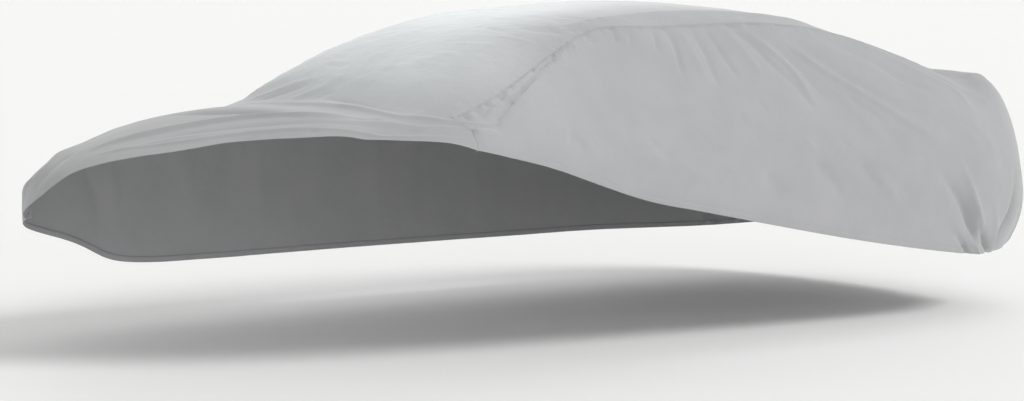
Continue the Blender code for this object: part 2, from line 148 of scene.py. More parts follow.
def spline(knots: np.ndarray, values: np.ndarray, at: np.ndarray) -> np.ndarray:
    """Natural cubic through rows of values.

    Args:
        knots: Rising numbers, one for each row.
        values: Rows to pass through.
        at: Numbers at which to read the curve.

    Returns:
        One row for each number in at.
    """
    knots = np.asarray(knots, float)
    values = np.asarray(values, float)
    at = np.clip(np.asarray(at, float), knots[0], knots[-1])
    count = len(knots)
    step = np.diff(knots)
    slope = np.diff(values, axis=0) / step[:, None]
    matrix = np.eye(count)
    right = np.zeros_like(values)
    for row in range(1, count - 1):
        matrix[row, row - 1:row + 2] = step[row - 1], 2.0 * (step[row - 1] + step[row]), step[row]
        right[row] = 6.0 * (slope[row] - slope[row - 1])
    bend = np.linalg.solve(matrix, right)
    low = np.clip(np.searchsorted(knots, at, side="right") - 1, 0, count - 2)
    span = step[low][..., None]
    after = (at - knots[low])[..., None]
    before = span - after
    cubic = (bend[low] * before**3 + bend[low + 1] * after**3) / (6.0 * span)
    start = (values[low] / span - bend[low] * span / 6.0) * before
    end = (values[low + 1] / span - bend[low + 1] * span / 6.0) * after
    return cubic + start + end


def unit(vectors: np.ndarray) -> np.ndarray:
    """Vectors of length one."""
    return vectors / np.maximum(np.linalg.norm(vectors, axis=-1, keepdims=True), 1e-12)


def ease(share: np.ndarray) -> np.ndarray:
    """Smooth rise from 0 to 1."""
    share = np.clip(share, 0.0, 1.0)
    return share * share * (3.0 - 2.0 * share)


def run_along(grid: np.ndarray, axis: int) -> np.ndarray:
    """Distance of each point of a grid from its first one, measured along the grid.

    Args:
        grid: Points.
        axis: 0 to measure along the first axis, 1 along the second.

    Returns:
        Distances, metres, with 0 at the first points.
    """
    steps = np.cumsum(np.linalg.norm(np.diff(grid, axis=axis), axis=-1), axis=axis)
    return np.insert(steps, 0, 0.0, axis=axis)


def noise_field(points: np.ndarray, length: float | np.ndarray, shift: float = 0.0) -> np.ndarray:
    """Smooth noise at rows of points.

    Args:
        points: Rows of points.
        length: Size of the patches, metres.
        shift: Moves the pattern, so that two fields differ.

    Returns:
        One number from -1 to 1 for each row.
    """
    return np.array([noise.noise(Vector(point / length + shift)) for point in points])


def hem_girth(hem: tuple[tuple[float, float], ...], rib: np.ndarray) -> np.ndarray:
    """Girth number of a hem at a rib, never below the foot line."""
    knots, girths = np.array(hem).T
    return np.minimum(spline(knots, girths[:, None], rib)[..., 0], FOOT)


@dataclass
class DrapedForm:
    """The surface on which the cloth lies, lofted through its ribs and drops."""

    roof_height: float = 1.450
    corner_reach: float = 0.8
    nudge: float = 0.01

    def __post_init__(self) -> None:
        """Gather the tables into arrays."""
        self.rib_sizes = np.array([(*rib.crown, *rib.seam, rib.roundness) for rib in RIBS])
        self.rib_numbers = np.arange(len(RIBS), dtype=float)
        floor = np.array([0.0, 0.0, self.roof_height])
        thirds = np.array([1.0, 2.0, 3.0])
        self.drop_knots = np.array([FRONT_CORNER, *(drop.rib for drop in DROPS), REAR_CORNER])
        self.drop_rows = np.array([
            self.corner_leg(FRONT_CORNER, 0.0, thirds).ravel(),
            *(np.concatenate([np.array(point) - floor for point in (drop.shoulder, drop.waist, drop.foot)])
              for drop in DROPS),
            self.corner_leg(REAR_CORNER, LAST_RIB, thirds).ravel(),
        ])

    def top_point(self, rib: np.ndarray, across: np.ndarray) -> np.ndarray:
        """Point of the top panel.

        Args:
            rib: Rib numbers.
            across: -1 on the left seam to 1 on the right one.

        Returns:
            Points, metres.
        """
        size = spline(self.rib_numbers, self.rib_sizes, rib)
        fall = np.abs(across) ** size[..., 5]
        x = size[..., 0] + (size[..., 2] - size[..., 0]) * fall
        y = size[..., 3] * across
        z = size[..., 1] + (size[..., 4] - size[..., 1]) * fall
        return np.stack([x, y, z - self.roof_height], axis=-1)

    def corner_leg(self, corner: float, end: float, down: np.ndarray) -> np.ndarray:
        """Point of the right seam where it runs down a corner; down is 3 at the foot."""
        return self.top_point(corner + (end - corner) * np.asarray(down, float) / 3.0, 1.0)

    def side_point(self, rib: np.ndarray, down: np.ndarray) -> np.ndarray:
        """Point of the right side panel.

        Args:
            rib: Rib numbers.
            down: 0 on the seam, 1 at the shoulder, 2 at the waist and 3 at the foot.

        Returns:
            Points, metres.
        """
        rib, down = np.broadcast_arrays(np.asarray(rib, float), np.asarray(down, float))
        seam = self.top_point(rib, np.ones_like(rib))
        lines = spline(self.drop_knots, self.drop_rows, rib).reshape(rib.shape + (3, 3))
        weights = spline(np.arange(4.0), np.eye(4), down)
        rows = np.concatenate([seam[..., None, :], lines], axis=-2)
        point = np.einsum("...k,...kj->...j", weights, rows)
        for corner, end in ((FRONT_CORNER, 0.0), (REAR_CORNER, LAST_RIB)):
            edge = np.clip(1.0 - np.abs(rib - corner) / self.corner_reach, 0.0, 1.0) ** 2
            leg = self.corner_leg(corner, end, np.arange(4.0))
            drawn = np.einsum("...k,kj->...j", weights, leg)
            point = point + edge[..., None] * (self.corner_leg(corner, end, down) - drawn)
        return point

    def point(self, rib: np.ndarray, girth: np.ndarray) -> np.ndarray:
        """Point of the whole cloth.

        Args:
            rib: Rib numbers.
            girth: Girth numbers, below 0 on the left.

        Returns:
            Points, metres.
        """
        rib, girth = np.broadcast_arrays(np.asarray(rib, float), np.asarray(girth, float))
        size = np.abs(girth)
        top = self.top_point(rib, np.clip(girth, -1.0, 1.0))
        side = self.side_point(rib, np.clip(size - 1.0, 0.0, 3.0))
        side = side * np.where(girth[..., None] < 0.0, (1.0, -1.0, 1.0), 1.0)
        return np.where((size > 1.0)[..., None], side, top)

    def slope(self, reader: Callable[[np.ndarray, np.ndarray], np.ndarray], first: np.ndarray,
              second: np.ndarray, most: float) -> np.ndarray:
        """Outward normal of one surface from small steps along its two numbers.

        Args:
            reader: top_point or side_point.
            first: Rib numbers.
            second: Across or down numbers.
            most: Largest value of second; steps stay within it and its opposite or 0.

        Returns:
            Unit normals.
        """
        step = self.nudge
        least = -most if most == 1.0 else 0.0
        ahead, behind = np.minimum(first + step, LAST_RIB), np.maximum(first - step, 0.0)
        below, above = np.minimum(second + step, most), np.maximum(second - step, least)
        along = reader(ahead, second) - reader(behind, second)
        across = reader(first, below) - reader(first, above)
        return unit(np.cross(along, across))

    def seam_normal(self, rib: np.ndarray) -> np.ndarray:
        """Normal that the two panels share along the right seam.

        Args:
            rib: Rib numbers.

        Returns:
            Unit normals.
        """
        rib = np.asarray(rib, float)
        top = self.slope(self.top_point, rib, np.ones_like(rib), 1.0)
        past_rear = np.maximum(rib - REAR_CORNER, 0.0)
        down = np.where(rib < FRONT_CORNER, FRONT_CORNER - rib, past_rear) * LEG_RATE
        held = np.clip(rib, FRONT_CORNER, REAR_CORNER)
        side = self.slope(self.side_point, held, down, 3.0)
        return unit(top + side)


@dataclass(frozen=True)
class Crease:
    """A soft ridge or trough in the cloth, along a line of (rib, girth) places.

    Its height is below 0 for a trough, ends is the share of its length over which it fades at each end,
    and rise takes the place of ends at the first one.
    """

    name: str
    line: tuple[tuple[float, float], ...]
    width: float
    height: float
    lean: float = 0.0
    ends: float = 0.28
    rise: float = 0.0

    def mirrored(self, shift: float, share: float) -> "Crease":
        """The same crease on the other side, moved by shift ribs and share as high."""
        line = tuple((min(rib + shift, REAR_CORNER - 0.1), -girth) for rib, girth in self.line)
        return replace(self, line=line, height=self.height * share, lean=-self.lean)

    def lift(self, form: DrapedForm, points: np.ndarray, normals: np.ndarray) -> np.ndarray:
        """Height that this crease gives to points of the cloth.

        Args:
            form: The surface that holds the crease.
            points: Points of the smooth cloth.
            normals: Their outward normals.

        Returns:
            Heights, metres.
        """
        places = np.array(self.line)
        steps = CREASE_STEPS * (len(places) - 1) + 1
        smooth = spline(np.arange(len(places)), places, np.linspace(0.0, len(places) - 1, steps))
        line = form.point(smooth[:, 0], smooth[:, 1])
        reach = CREASE_REACH * self.width * (1.0 + abs(self.lean))
        low, high = line.min(axis=0) - reach, line.max(axis=0) + reach
        near = np.all((points > low) & (points < high), axis=-1)
        heights = np.zeros(points.shape[:-1])
        if not near.any():
            return heights
        start = line[:-1]
        step = line[1:] - start
        offset = points[near][:, None, :] - start
        place = np.clip(np.sum(offset * step, axis=-1) / np.sum(step * step, axis=-1), 0.0, 1.0)
        gap = offset - place[..., None] * step
        distance = np.linalg.norm(gap, axis=-1)
        nearest = np.argmin(distance, axis=-1)
        pick = np.arange(len(nearest))
        distance = distance[pick, nearest]
        turn = np.sum(np.cross(step[nearest], gap[pick, nearest]) * normals[near], axis=-1)
        beside = np.tanh(LEAN_SHARPNESS * np.sign(turn) * distance / self.width)
        width = self.width * (1.0 + self.lean * beside)
        along = (place[pick, nearest] + nearest) / (steps - 1)
        fade = ease(along / (self.rise or self.ends)) * ease((1.0 - along) / self.ends)
        heights[near] = self.height * fade / np.cosh(CREASE_SHARPNESS * distance / width)
        return heights


CREASES = (
    # front part of the top panel
    Crease("bonnet ridge", (
        (2.3, 0.30), (2.64, 0.26), (3.0, 0.16), (3.4, 0.07), (3.75, -0.01), (4.3, -0.19), (4.76, -0.42),
        (5.25, -0.58), (5.6, -0.70)), 0.034, 0.018, 0.3),
    Crease("bonnet ridge, rear", (
        (4.9, -0.56), (5.3, -0.76), (5.5, -0.91), (5.70, -1.06), (6.15, -1.43), (6.8, -1.76), (7.3, -2.0)
    ), 0.034, 0.018, -0.2),
    Crease("bonnet low ridge", (
        (2.4, 0.14), (2.6, 0.0), (2.9, -0.10), (3.2, -0.22), (3.64, -0.42)), 0.022, 0.004),
    Crease("bonnet hollow", (
        (2.9, -0.04), (3.5, -0.24), (4.2, -0.50), (4.8, -0.68), (5.2, -0.92)), 0.036, -0.008),
    Crease("hem roll", (
        (2.2, 0.20), (2.49, 0.07), (2.79, -0.16), (3.21, -0.38), (3.64, -0.52), (4.31, -0.76),
        (4.75, -1.00), (5.15, -1.36), (5.75, -1.72), (6.45, -2.02), (7.1, -2.2)), 0.020, 0.009),
    Crease("bonnet dark crease", (
        (5.09, -0.67), (5.30, -0.65), (5.56, -0.66), (5.62, -0.72)), 0.013, -0.009),
    Crease("hem dimple", ((3.98, -0.80), (4.10, -0.76), (4.22, -0.74)), 0.012, -0.005),
    Crease("nose fold", ((1.3, 0.78), (1.8, 0.64), (2.3, 0.60), (2.9, 0.62)), 0.040, 0.006),
    Crease("nose hollow", ((1.5, 0.50), (2.0, 0.42), (2.5, 0.42)), 0.040, -0.006),
    Crease("nose thin fold", ((2.0, 0.28), (2.35, 0.36), (2.8, 0.34), (3.3, 0.24)), 0.014, 0.003),
    # foot of the front slope
    Crease("screen base hollow", (
        (4.0, 0.80), (4.15, 0.55), (4.36, 0.32), (4.57, 0.15), (4.68, -0.02), (4.68, -0.20), (4.9, -0.36)
    ), 0.052, -0.028, 0.0, 0.25, 0.5),
    Crease("screen base swell", (
        (6.0, 0.90), (5.80, 0.54), (5.83, 0.20), (5.98, 0.0), (6.05, -0.33), (6.0, -0.58), (6.06, -0.80),
        (6.35, -1.02), (6.9, -1.42)), 0.040, 0.008, 0.3),
    Crease("screen base edge", (
        (6.0, 0.94), (5.80, 0.60), (5.84, 0.20), (5.98, 0.0), (6.05, -0.33), (6.0, -0.52), (5.96, -0.72),
        (6.11, -0.84), (6.32, -1.00), (6.84, -1.39), (7.2, -1.55)), 0.013, 0.006, 0.2, 0.12),
    Crease("screen base second edge", (
        (6.20, -0.04), (6.12, -0.22), (6.10, -0.40), (6.06, -0.58), (6.10, -0.72)), 0.012, 0.004),
    Crease("screen base groove", (
        (6.35, 0.10), (6.26, -0.16), (6.22, -0.40), (6.14, -0.60), (6.24, -0.80)), 0.016, -0.005),
    Crease("pillar foot crease", (
        (6.50, -1.45), (6.74, -1.52), (7.17, -1.56), (7.35, -1.50)), 0.012, -0.007, 0.0, 0.3),
    Crease("pillar foot swell", ((6.3, -1.55), (6.7, -1.70), (7.2, -1.74)), 0.022, 0.006),
    # front slope
    Crease("screen fold 1", (
        (6.10, 0.78), (6.48, 0.56), (6.83, 0.29), (7.0, 0.18)), 0.014, 0.007, 0.0, 0.2),
    Crease("screen hollow 1", ((6.02, 0.64), (6.42, 0.42), (6.78, 0.22)), 0.013, -0.008, 0.0, 0.2),
    Crease("screen fold 2", (
        (6.08, 0.30), (6.39, 0.19), (6.72, 0.08), (6.95, 0.03), (7.20, -0.06)), 0.014, 0.007, 0.0, 0.2),
    Crease("screen hollow 2", (
        (6.02, 0.22), (6.37, 0.12), (6.67, 0.02), (6.88, -0.06), (7.20, -0.18)), 0.012, -0.004, 0.0, 0.2),
    Crease("screen hollow 3", ((6.16, 0.10), (6.42, 0.02), (6.62, -0.06)), 0.015, -0.005),
    Crease("screen fold 3", ((6.36, 0.94), (7.0, 0.84), (7.64, 0.81)), 0.026, 0.006),
    Crease("screen hollow 4", ((6.9, 0.93), (7.3, 0.88), (7.7, 0.86)), 0.022, -0.005),
    Crease("screen fold 4", ((7.2, -0.26), (7.8, -0.50), (8.3, -0.66), (8.7, -0.76)), 0.034, 0.004),
    Crease("screen fold 5", ((6.9, -0.50), (7.4, -0.70), (7.8, -0.84)), 0.030, 0.005),
    Crease("screen fold 6", ((7.5, 0.42), (8.2, 0.14), (8.9, -0.05)), 0.050, 0.004),
    Crease("screen ripple 1", (
        (8.60, -0.24), (8.64, -0.34), (8.66, -0.50), (8.69, -0.64)), 0.016, -0.005),
    Crease("screen ripple 2", ((8.96, -0.14), (9.02, -0.30), (9.09, -0.48)), 0.018, 0.004),
    Crease("screen ripple 3", (
        (8.76, -0.58), (8.83, -0.70), (8.90, -0.82), (8.96, -0.93)), 0.016, -0.006),
    Crease("screen ripple 4", ((8.50, -0.58), (8.57, -0.70), (8.63, -0.88)), 0.016, 0.005),
    Crease("screen ripple 5", ((8.20, -0.46), (8.27, -0.57), (8.36, -0.72)), 0.016, 0.005),
    Crease("screen ripple 6", ((7.88, -0.46), (7.95, -0.54), (8.04, -0.64)), 0.016, 0.004),
    Crease("screen ripple 7", ((7.72, -0.46), (7.78, -0.55), (7.84, -0.66)), 0.014, -0.005),
    Crease("screen ripple 8", ((9.20, -0.55), (9.30, -0.75), (9.38, -0.94)), 0.018, -0.004),
    # beside the front slope, between the left seam and the line below it
    Crease("pillar lower line", (
        (7.28, -1.50), (7.42, -1.41), (7.60, -1.34), (7.79, -1.25), (8.05, -1.16), (8.30, -1.10),
        (8.60, -1.05), (8.9, -1.02)), 0.010, -0.007, 0.2, 0.12),
    Crease("pillar roll", (
        (7.05, -1.36), (7.40, -1.25), (7.80, -1.14), (8.25, -1.07), (8.7, -1.03)), 0.018, 0.011),
    Crease("pillar roll below", (
        (7.2, -1.62), (7.6, -1.46), (8.1, -1.30), (8.6, -1.16), (9.1, -1.10)), 0.032, 0.006),
    # left edge of the crown
    Crease("roof shoulder", (
        (9.0, -0.90), (9.4, -0.86), (10.0, -0.80), (10.8, -0.77), (11.6, -0.77), (12.4, -0.80),
        (13.2, -0.86)), 0.050, 0.014, 0.0, 0.12),
    Crease("roof seam dash 1", ((9.42, -1.01), (9.52, -1.015), (9.64, -1.01)), 0.011, -0.006),
    Crease("roof seam dash 2", ((10.02, -1.01), (10.10, -1.015), (10.20, -1.01)), 0.010, -0.005),
    Crease("roof seam dash 3", ((10.32, -1.01), (10.46, -1.018), (10.66, -1.01)), 0.011, -0.007),
    Crease("roof seam dash 4", (
        (10.80, -1.01), (11.05, -1.012), (11.36, -1.01)), 0.010, -0.005, 0.0, 0.15),
    Crease("roof seam dash 5", ((11.50, -1.01), (11.58, -1.02), (11.72, -1.03)), 0.011, -0.008),
    Crease("roof seam dash 6", ((11.76, -1.01), (11.90, -1.012), (12.02, -1.01)), 0.010, -0.005),
    Crease("roof seam dash 7", ((12.15, -1.01), (12.35, -1.012), (12.55, -1.01)), 0.010, -0.005),
    Crease("roof turn hollow", ((9.02, -1.01), (9.12, -1.05), (9.20, -1.12)), 0.022, -0.007),
    Crease("roof pucker 1", ((9.54, -1.00), (9.57, -1.06), (9.52, -1.16)), 0.018, -0.008),
    Crease("roof pucker 2", ((9.92, -1.01), (9.84, -1.10), (9.76, -1.20)), 0.018, -0.005),
    Crease("roof pucker 3", ((10.38, -1.00), (10.34, -1.11), (10.26, -1.24)), 0.020, -0.009),
    Crease("roof pucker 4", (
        (10.60, -1.00), (10.64, -1.12), (10.61, -1.27), (10.50, -1.52)), 0.024, -0.012),
    Crease("roof swell 5", (
        (10.79, -1.01), (10.86, -1.15), (10.89, -1.37), (10.88, -1.58)), 0.030, 0.006),
    Crease("roof pucker 6", (
        (10.98, -1.00), (11.07, -1.23), (11.07, -1.42), (11.08, -1.60)), 0.024, -0.009),
    Crease("roof pucker 7", (
        (11.19, -1.01), (11.29, -1.19), (11.35, -1.36), (11.42, -1.52)), 0.022, -0.008),
    Crease("roof swell 8", (
        (11.40, -1.02), (11.55, -1.16), (11.68, -1.34), (11.74, -1.50)), 0.030, 0.007),
    Crease("roof pucker 9", (
        (11.56, -1.00), (11.67, -1.10), (11.78, -1.18), (11.88, -1.29), (11.99, -1.46)), 0.020, -0.011),
    Crease("roof side fold", ((9.4, -1.30), (9.35, -1.60), (9.25, -1.95)), 0.070, 0.003),
    # rear quarter of the left side
    Crease("quarter ridge 1", (
        (11.70, -1.02), (11.90, -1.17), (12.05, -1.29), (12.17, -1.42), (12.24, -1.60), (12.30, -1.86)
    ), 0.017, 0.010, 0.3),
    Crease("quarter hollow 1", (
        (11.98, -1.08), (12.14, -1.26), (12.34, -1.50), (12.48, -1.80)), 0.028, -0.006),
    Crease("quarter line 1", (
        (11.85, -1.25), (11.97, -1.40), (12.11, -1.56), (12.20, -1.72), (12.26, -1.90)), 0.014, -0.006),
    Crease("quarter ridge 2", (
        (12.12, -1.08), (12.32, -1.22), (12.64, -1.45), (12.92, -1.65), (13.18, -1.92), (13.45, -2.26),
        (13.75, -2.58)), 0.028, 0.011, 0.35),
    Crease("quarter hollow 2", (
        (12.35, -1.12), (12.60, -1.30), (12.90, -1.50), (13.20, -1.76), (13.55, -2.06), (13.9, -2.36)
    ), 0.040, -0.007),
    Crease("quarter line 2", ((12.72, -1.66), (12.90, -1.84), (13.10, -2.10)), 0.016, -0.006),
    Crease("quarter ridge 3", (
        (12.55, -1.55), (12.72, -1.80), (12.90, -2.12), (13.10, -2.50)), 0.026, 0.004),
    Crease("quarter ridge 4", (
        (12.9, -1.45), (13.25, -1.68), (13.7, -2.05), (14.1, -2.40), (14.5, -2.7)), 0.038, 0.005, 0.2),
    Crease("quarter ridge 5", ((13.5, -1.70), (13.9, -2.0), (14.4, -2.34), (14.8, -2.60)), 0.036, 0.004),
    Crease("rear shoulder hollow", (
        (12.60, -1.04), (12.90, -1.12), (13.26, -1.24), (13.42, -1.39), (13.66, -1.54), (13.9, -1.68)
    ), 0.034, -0.010, 0.2),
    Crease("rear shoulder ridge", (
        (12.9, -0.98), (13.25, -1.04), (13.50, -1.12), (13.75, -1.24), (13.92, -1.34), (14.18, -1.48),
        (14.30, -1.70), (14.45, -2.02)), 0.022, 0.012, -0.2),
    Crease("deck corner ridge", (
        (13.9, -1.12), (14.25, -1.24), (14.6, -1.42), (14.9, -1.68), (15.05, -2.0)), 0.036, 0.005),
    # left side
    Crease("side bulge", ((8.02, -1.69), (8.14, -1.88), (8.26, -2.02)), 0.060, 0.004),
    Crease("side hollow", ((8.20, -1.96), (8.32, -2.10), (8.42, -2.26)), 0.034, -0.008),
    Crease("side drape 1", (
        (9.1, -2.32), (9.36, -2.40), (9.62, -2.47), (10.05, -2.66), (10.5, -2.9)), 0.034, 0.004),
    Crease("side drape 1 hollow", (
        (9.34, -2.02), (9.44, -2.18), (9.56, -2.34), (9.72, -2.44)), 0.024, -0.004),
    Crease("side drape 2", ((11.30, -2.80), (11.45, -3.0), (11.58, -3.2)), 0.050, -0.007),
    Crease("side drape 3", ((11.98, -2.60), (12.25, -2.95), (12.52, -3.32)), 0.045, -0.009),
    Crease("side drape 4", ((12.76, -2.84), (12.98, -3.05), (13.16, -3.30)), 0.040, 0.007),
    Crease("side drape 4 hollow", ((12.62, -2.74), (12.80, -2.94), (12.96, -3.14)), 0.034, -0.006),
    Crease("side drape 5", ((10.1, -1.75), (10.3, -2.3), (10.7, -2.8)), 0.080, 0.003),
    Crease("side drape 6", ((11.5, -1.95), (11.85, -2.22), (12.15, -2.46)), 0.040, 0.004),
    Crease("side dimple 1", ((11.50, -1.66), (11.56, -1.73), (11.62, -1.82)), 0.026, -0.005),
    Crease("side dimple 2", ((11.22, -1.80), (11.29, -1.88), (11.34, -1.98)), 0.028, 0.004),
    Crease("side dimple 3", ((12.42, -2.28), (12.50, -2.34), (12.58, -2.40)), 0.016, -0.005),
    Crease("side dimple 4", ((11.94, -2.18), (12.02, -2.34), (12.08, -2.50)), 0.022, 0.004),
    Crease("side hem sag", ((9.2, -2.90), (10.2, -3.12), (11.2, -3.28), (12.2, -3.46)), 0.050, 0.003),
    # rear corner of the left side
    Crease("rear corner hollow", (
        (13.52, -2.84), (13.68, -3.02), (13.82, -3.20), (13.98, -3.39), (14.13, -3.57), (14.26, -3.72),
        (14.36, -3.85)), 0.034, -0.036, 0.1, 0.2, 0.75),
    Crease("rear corner ridge", (
        (13.74, -2.62), (13.92, -2.86), (14.06, -3.10), (14.22, -3.36), (14.41, -3.60), (14.54, -3.80)
    ), 0.026, 0.024, -0.25, 0.25, 0.7),
    Crease("rear corner wedge", (
        (14.20, -3.34), (14.34, -3.56), (14.52, -3.76), (14.68, -3.88), (14.78, -3.99)
    ), 0.020, -0.036, 0.3, 0.1, 0.6),
    Crease("rear corner lip", (
        (14.10, -3.62), (14.22, -3.78), (14.36, -3.90), (14.42, -3.99)), 0.014, 0.014, 0.0, 0.12),
    Crease("rear corner low crease", (
        (13.70, -3.60), (13.90, -3.71), (14.06, -3.83), (14.16, -3.93), (14.2, -4.0)
    ), 0.016, -0.024, 0.0, 0.1, 0.6),
    Crease("rear corner face", (
        (14.62, -3.10), (14.78, -3.45), (14.88, -3.75), (14.92, -3.98)), 0.032, 0.012, 0.0, 0.15, 0.6),
    Crease("rear corner tuck", (
        (15.12, -2.60), (15.18, -2.96), (15.17, -3.24), (15.12, -3.50), (15.02, -3.72), (14.95, -3.99)
    ), 0.026, -0.040, 0.2, 0.1, 0.7),
    Crease("rear corner tuck ridge", (
        (15.42, -2.60), (15.50, -3.05), (15.50, -3.55), (15.44, -3.99)), 0.026, 0.014, 0.0, 0.15, 0.6),
    Crease("hem pucker", ((15.6, -3.5), (15.66, -3.75), (15.68, -3.99)), 0.018, -0.008, 0.0, 0.15),
)

HIDDEN_CREASES = (
    # right side, hem all the way down
    Crease("right wing fold", ((2.5, 1.15), (2.9, 1.9), (3.3, 2.8), (3.6, 3.6)), 0.050, 0.013),
    Crease("right wing hollow", ((2.9, 1.3), (3.4, 2.1), (3.8, 3.0), (4.0, 3.8)), 0.050, -0.010),
    Crease("right wing drape", ((4.4, 1.4), (4.9, 2.2), (5.4, 3.0), (5.8, 3.8)), 0.070, -0.010),
    Crease("right side drape 1", ((6.6, 2.0), (6.7, 2.9), (6.6, 3.95)), 0.060, 0.007),
    Crease("right side drape 2", ((7.4, 2.2), (7.5, 3.1), (7.6, 3.97)), 0.050, -0.008),
    Crease("right side drape 3", ((8.3, 1.8), (8.35, 2.8), (8.2, 3.97)), 0.070, 0.006),
    Crease("right side drape 4", ((9.3, 2.4), (9.35, 3.2), (9.4, 3.97)), 0.050, -0.007),
    Crease("right side drape 5", ((10.4, 2.2), (10.3, 3.1), (10.3, 3.97)), 0.060, 0.007),
    Crease("right side drape 6", ((11.2, 2.5), (11.25, 3.2), (11.3, 3.97)), 0.045, -0.008),
    Crease("right nose fold", ((2.05, 1.25), (2.3, 1.8), (2.5, 2.5), (2.6, 3.05)), 0.035, 0.010),
    # rear face
    Crease("rear face fold 1", ((16.3, 0.62), (17.0, 0.52), (17.97, 0.46)), 0.045, 0.016),
    Crease("rear face fold 2", ((16.6, 0.28), (17.2, 0.20), (17.97, 0.14)), 0.040, -0.014),
    Crease("rear face fold 3", ((16.4, -0.12), (17.1, -0.16), (17.97, -0.12)), 0.045, 0.011),
    Crease("rear face fold 4", ((16.5, -0.52), (17.2, -0.48), (17.97, -0.42)), 0.040, -0.016),
    Crease("rear face fold 5", ((16.3, -0.80), (17.1, -0.76), (17.97, -0.70)), 0.034, 0.013),
    Crease("rear edge fold", ((15.9, 0.8), (16.02, 0.3), (16.0, -0.3), (15.9, -0.8)), 0.060, 0.005),
    Crease("rear screen fold 1", ((13.0, 0.5), (13.6, 0.2), (14.1, -0.2)), 0.060, 0.006),
    Crease("rear screen fold 2", ((13.2, -0.1), (13.9, -0.4), (14.4, -0.7)), 0.055, 0.006),
    Crease("rear screen base hollow", (
        (14.1, 0.8), (14.2, 0.2), (14.2, -0.4), (14.1, -0.85)), 0.075, -0.008),
    Crease("roof fold", ((9.8, 0.5), (10.6, 0.1), (11.5, -0.2), (12.4, -0.3)), 0.090, 0.004),
)


@dataclass
class Puckers:
    """Small gathers that a seam's thread draws into the cloth below it."""

    side: float
    seed: int = 11
    zones: tuple[tuple[float, float, float, float, float, float], ...] = (
        # first rib, last rib, step in ribs, lean in ribs, reach in girth, depth in metres
        (6.90, 7.5, 0.15, -0.10, 0.36, 0.0085),
        (7.5, 8.0, 0.14, -0.12, 0.26, 0.0085),
        (8.0, 8.9, 0.13, -0.10, 0.18, 0.0080),
        (8.9, 9.9, 0.22, -0.08, 0.10, 0.0026),
        (9.9, 12.0, 0.24, 0.03, 0.16, 0.0020),
        (12.0, 14.0, 0.26, 0.12, 0.14, 0.0022),
        (14.0, 15.7, 0.24, 0.05, 0.14, 0.0022),
    )
    start: float = 0.01
    reach_shares: tuple[float, float] = (0.6, 1.5)
    lean_shares: tuple[float, float] = (0.4, 1.6)
    depth_shares: tuple[float, float] = (0.5, 1.3)
    step_shares: tuple[float, float] = (0.6, 1.4)
    width: tuple[float, float] = (0.008, 0.016)
    ends: float = 0.85
    rise: float = 0.12

    def creases(self) -> list[Crease]:
        """All gathers of this seam, uneven but the same in each run.

        Returns:
            Ridges and troughs by turns.
        """
        draw = random.Random(self.seed)
        made = []
        for first, last, step, lean, reach, depth in self.zones:
            rib = first
            while rib < last:
                length = reach * draw.uniform(*self.reach_shares)
                top = self.side * (1.0 + self.start)
                foot = self.side * (1.0 + length)
                tilt = lean * draw.uniform(*self.lean_shares)
                height = depth * draw.uniform(*self.depth_shares) * (1.0 if len(made) % 2 else -1.0)
                line = ((rib, top), (rib + 0.5 * tilt, 0.5 * (top + foot)), (rib + tilt, foot))
                made.append(Crease(f"seam gather {len(made)}", line, draw.uniform(*self.width), height,
                                   ends=self.ends, rise=self.rise))
                rib += step * draw.uniform(*self.step_shares)
        return made


@dataclass
class Tucks:
    """Short tight creases, one after the other along a line, where thread draws the cloth in."""

    line: tuple[tuple[float, float], ...]
    seed: int
    step: tuple[float, float] = (0.17, 0.27)
    length: tuple[float, float] = (0.09, 0.18)
    depth: tuple[float, float] = (0.002, 0.005)
    width: tuple[float, float] = (0.009, 0.012)
    ends: float = 0.4
    margin: float = 0.1

    def creases(self) -> list[Crease]:
        """All tucks, uneven but the same in each run.

        Returns:
            Short troughs.
        """
        draw = random.Random(self.seed)
        ribs, girths = np.array(self.line).T
        rib = ribs[0]
        made = []
        while rib < ribs[-1] - self.margin:
            length = draw.uniform(*self.length)
            at = [rib, rib + 0.5 * length, rib + length]
            line = tuple(zip(at, map(float, np.interp(at, ribs, girths))))
            width = draw.uniform(*self.width)
            made.append(Crease(f"tuck {len(made)}", line, width, -draw.uniform(*self.depth), ends=self.ends))
            rib += draw.uniform(*self.step)
        return made


@dataclass
class Ripples:
    """Short shallow ripples of slack cloth across the front slope, uneven but the same in each run."""

    seed: int = 37
    count: int = 46
    ribs: tuple[float, float] = (7.3, 9.7)
    girths: tuple[float, float] = (-0.92, 0.55)
    crowding: float = 1.7
    length: tuple[float, float] = (0.10, 0.34)
    tilt: tuple[float, float] = (0.10, 0.42)
    bend: tuple[float, float] = (-0.05, 0.05)
    width: tuple[float, float] = (0.012, 0.022)
    height: tuple[float, float] = (0.0010, 0.0032)
    ends: float = 0.35

    def creases(self) -> list[Crease]:
        """All ripples, most of them near the left seam.

        Returns:
            Ridges and troughs by turns.
        """
        draw = random.Random(self.seed)
        left, right = self.girths
        made = []
        for number in range(self.count):
            rib = draw.uniform(*self.ribs)
            girth = left + (right - left) * draw.random() ** self.crowding
            length = draw.uniform(*self.length)
            tilt = draw.uniform(*self.tilt) * length
            middle = (rib - 0.5 * tilt + draw.uniform(*self.bend), girth + 0.5 * length)
            line = ((rib, girth), middle, (rib - tilt, girth + length))
            height = draw.uniform(*self.height) * (1.0 if number % 2 else -1.0)
            made.append(Crease(f"screen slack {number}", line, draw.uniform(*self.width), height,
                               ends=self.ends))
        return made


